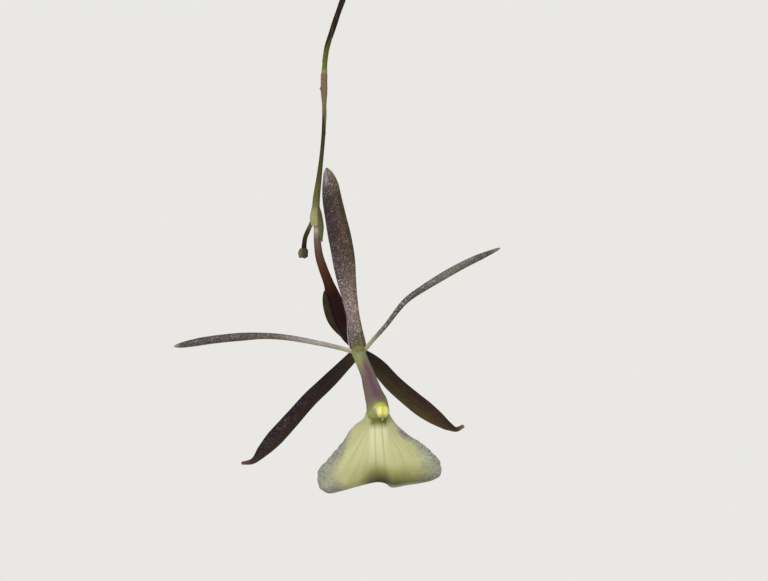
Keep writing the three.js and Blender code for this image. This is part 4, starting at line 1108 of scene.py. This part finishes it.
# Painted shade along the curled lower edge: how strong it is from left to right.
EDGE_SHADE = [  # how dark the lower edge is from left to right
    (-4.5, 0.1), (-2, 0.2), (-0.8, 0.28), (0.4, 0.45), (1.4, 0.78), (2.6, 0.95), (3.8, 0.94), (5, 0.86),
    (7, 0.64), (8.5, 0.38), (9.6, 0.15),
]
BLUSH = [  # the purple patches: how strong, the middle and half-width across, then the same in height
    (1.0, -2.7, 1.3, -12.1, 1.3), (1.0, 5.6, 0.9, -9.95, 0.7), (0.9, -1.8, 1.8, -16.3, 0.6),
    (0.5, -0.6, 1.0, -9.6, 0.8),
]

v = linspace(0, 1, 130)[:, None]  # from the throat down to the lower edge
a = full_turn(380)[None]
u = (1 - cos(a)) / 2  # from left to right
left_edge, right_edge = (
    smooth_path([(x, 0, z) for x, z in edge], v[:, 0])[:, None] for edge in (LIP_LEFT, LIP_RIGHT)
)
scallop = (0.05 * sin(34 * v) + 0.035 * sin(71 * v + 1)) * ramp(v, 0.25, 0.5)
left_edge[..., 0] -= scallop
right_edge[..., 0] += scallop
lower_edge = smooth_path([(x, 0, z) for x, z in LIP_LOWER], u[0])[None]
u3, v3 = u[..., None], v[..., None]  # for use with points
# A Coons patch whose throat is a straight line.
patch = left_edge * (1 - u3) + right_edge * u3
patch = patch + (lower_edge - left_edge[-1, 0] * (1 - u3) - right_edge[-1, 0] * u3) * v3
x, z = patch[..., 0], patch[..., 2]
aside, fall = x - VEIN_ROOT[0], z - VEIN_ROOT[1]
fan, reach_out = np.arctan2(aside, -fall), np.hypot(aside, fall)
up = (1 - v) * LIP_HEIGHT
border = minimum(0.75 * minimum(u, 1 - u) * (right_edge - left_edge)[..., 0], up)
rim = minimum(1, sqrt(ramp(border, 0, 1.1)) + 0.2)
curl = clip(1 - up / (0.45 + 1.35 * bell(x, 2.6, 1.9)), 0, 1)
across = (2 * u - 1) ** 2
belly = 2 * sin(pi * (0.02 + 0.8 * v)) - v**4
depth = -4.5 - belly * (1 - across) - 0.4 * across * sin(pi * v) + 0.9 * curl**2
face = where(sin(a) > 0, -1, 1)
plateau = ramp(z, -14.2, -9.7) / (1 + exp((PLATEAU[0] - x) / 0.07)) / (1 + exp((x - PLATEAU[1]) / 0.1))
lower = clip((-9 - z) / 5, 0, 1.2)
furrow = bell(x, 2.04 + 0.16 * lower, 0.075) * ramp(z, -16, -14)
furrow = furrow + bell(x, 2.9 + 0.36 * lower, 0.085) * ramp(z, -14.4, -12.8)
outer = ramp(abs(aside), 1.3, 2.1)
vein = ramp(sin(fan * 44 + 0.9 * sin(0.8 * reach_out) + 1.5 * sin(5 * fan)), 0.62, 1)
vein = vein * outer * ramp(border, 0, 1.5) * ramp(reach_out, 2.2, 3.7) * ramp(reach_out, 8.3, 5.7)
ruffle = 0.16 * sin(reach_out * 0.5 + fan * 7) * ramp(border, 2.2, 0) * ramp(v, 0.3, 0.8)
y = depth + face * LIP_THICK / 2 * rim * abs(sin(a)) ** 0.5 + ruffle
y = y - where(face < 0, 0.14 * plateau - 0.08 * furrow - 0.03 * vein, 0)
# Painted shade: darker towards the lower edge where it curls back, most in the middle.
low = np.interp(x, *array(EDGE_SHADE).T) * ramp(up, 2.4, 0)
blush = sum(much * bell(x, at, wide) * bell(z, height, tall) for much, at, wide, height, tall in BLUSH)
# Painted shadow that the column's end casts on the throat.
shade = ramp(z + 0.15 * aside**2, -9.3, -8.5) * ramp(abs(aside), 1.3, 0.8)
wings = ramp(abs(x - 2.6), 2.2, 6.7) * ramp(reach_out, 5.5, 9)
edge = border / (0.68 + 1.85 * wings) + 3 * (1 - outer) * ramp(v, 0.3, 0.5)
edge = edge + 1.1 * ramp(z + where(aside < 0, 10.6, 9.7), 0, 1.6)
edge = edge + 2 * ramp(abs(aside), 5.32, 1.52) * ramp(v, 0.68, 0.88)
# Painted highlight: a pale line along the right part of the lower edge, where it folds back.
fringe = 0.9 * ramp(up, 0.39, 0.09) * ramp(x, 3.4, 4) * ramp(x, 7.9, 6.4)
lip_rings = stack([x, y, z], -1) + BLOOM
lip_mesh = closed_mesh(
    lip_rings, plateau=plateau, furrow=furrow, vein=vein, fan=fan, reach_out=reach_out, edge=edge,
    low=low, fringe=fringe, blush=blush, shade=shade, down=-7.3 - z,
)

lip_skin, node, place = new_finish("lip_papillate")
# Fleshy, slightly translucent tissue, yellow-cream over green, palest on the plateau, with darker veins
# and a margin of clear cells of 0.14 mm, with painted glints, over grey-green and purple sap.
streak = node("CombineXYZ", "fan", "reach_out")
streak = fibres(node, streak, (11, 0.16, 1), 4)
body = node("ValToRGB", streak, stops={0.3: "#BBBB88", 0.5: "#C4C38F", 0.7: "#CAC995"})
cloud = node("TexNoise", place, Scale=700, Detail=4)
margin = node("MapRange", node("Math MULTIPLY_ADD", cloud, -1.3, "edge"), 0.55, -0.55, 0, 0.97)
purple = node("MapRange", node("TexNoise", place, Scale=420, Detail=3), 0.42, 0.62, 0.5)
for share in (margin, node("MapRange", "blush", 0, 1, 0.15)):
    purple = node("Math MULTIPLY", purple, share)
for share, tint in (
    (node("MapRange", "down", 0.5, 3.4, 0.7, 0), "#A9A881"),
    (node("Math MULTIPLY", "vein", 0.3), "#9B9963"),
    (node("Math MULTIPLY", "plateau", 0.85), "#DCDDB0"),
    (node("Math MULTIPLY", "furrow", 0.42), "#8C8C50"),
    (margin, "#8B9086"),
    (purple, "#7A6472"),
):
    body = node("Mix", share, body, tint)
cell = node("TexVoronoi", place, Scale=7000, out="Distance")
dot = node("MapRange", cell, 0.6, 0.25)
chance = node("SeparateXYZ", cell.node.outputs["Color"], out="X")
tone = node("MapRange", chance, 0, 1, 0.7, 1.25)
tone = node("Mix", margin, 1, tone, data_type="FLOAT")
body = node("VectorMath SCALE", body, Scale=tone)
# Painted glints on the margin's cells.
glint = dot
for share in (margin, chance, 0.7):
    glint = node("Math MULTIPLY", glint, share)
body = node("Mix", glint, body, "#CBD0B8")
# Painted shade: the colour is multiplied darker, down to dark olive, towards the curled lower edge.
olive_shade = node("ValToRGB", "low", stops={
    0: "#FFFFFF", 0.12: "#F6F6F0", 0.3: "#DCDCC6", 0.47: "#B8B99A", 0.65: "#8E8E6C",
    0.82: "#58582E", 1: "#201F0A",
})
body = node("Mix", 1, body, olive_shade, blend_type="MULTIPLY")
# Painted highlight along the folded lower edge.
body = node("Mix", "fringe", body, "#A2A488")
# Painted shadow under the column's end.
colour = node("Mix", "shade", body, "#75763F")
coat(node, colour, dot, 0.3, 0.00004, roughness=0.5, specular=0.2, scatter=0.0005)
make_piece("lip_blade", [lip_mesh], lip_skin, "lip")

# Floor, light and camera
# A plain pale floor and soft studio light: one broad lamp high on the left in front, a weak one on the
# right, and pale surroundings. The camera looks level at the bloom, from far off with a long lens.

FLOOR_RADIUS = 1500
LAMPS = [  # name, place and width in metres, watts
    ("key_lamp", (-0.55, -1.0, 0.85), 0.6, 7.5),
    ("fill_lamp", (0.6, -0.9, 0.4), 0.9, 1.6),
]
LAMP_AIM, CAMERA_PLACE = (-0.08, 0.0, 0.18), (-0.11888, -0.55, 0.22314)  # metres
FOCAL_LENGTH = 203.1

floor_line = turned(array([(FLOOR_RADIUS, 0.0)]), 96)[0] * MM
floor_mesh = bpy.data.meshes.new("floor")
floor_mesh.from_pydata(floor_line.tolist(), [], [list(range(96))])
put("floor", floor_mesh)
floor_paint, node, _ = new_finish("floor_pale")
# Matt paint, which glows faintly so that it is as pale as the backdrop.
surface = node(
    "BsdfPrincipled", Base_Color="#ECEBE8", Roughness=0.9, Specular_IOR_Level=0.1,
    Emission_Color="#ECEBE8", Emission_Strength=0.16,
)
node("OutputMaterial", Surface=surface)
floor_mesh.materials.append(floor_paint)

world = bpy.data.worlds.new("studio")
world.use_nodes = True
world.node_tree.nodes.clear()
bpy.context.scene.world = world
node = partial(add_node, world.node_tree)
seen = node("LightPath", out="Is Camera Ray")
lighting = node("Background", Color="#FFFFFF", Strength=0.42)
backdrop = node("Background", Color="#E9E8E5", Strength=1)
sky = node("MixShader", seen, lighting, backdrop)
node("OutputWorld", Surface=sky)

for name, at, size, watts in LAMPS:
    lamp = bpy.data.lights.new(name, "AREA")
    lamp.shape, lamp.size, lamp.energy = "DISK", size, watts
    holder = put(name, lamp)
    holder.location = at
    way = unit(array(LAMP_AIM) - at)
    holder.rotation_euler = np.arccos(-way[2]), 0.0, np.arctan2(way[1], way[0]) - pi / 2
    holder.visible_camera = False

lens = bpy.data.cameras.new("camera")
lens.sensor_width, lens.lens = 36.0, FOCAL_LENGTH
lens.clip_start, lens.clip_end = 0.02, 20.0
camera = put("camera", lens)
camera.location = CAMERA_PLACE
camera.rotation_euler = (pi / 2, 0.0, 0.0)
bpy.context.scene.camera = camera
bpy.context.scene.view_settings.view_transform = "Standard"
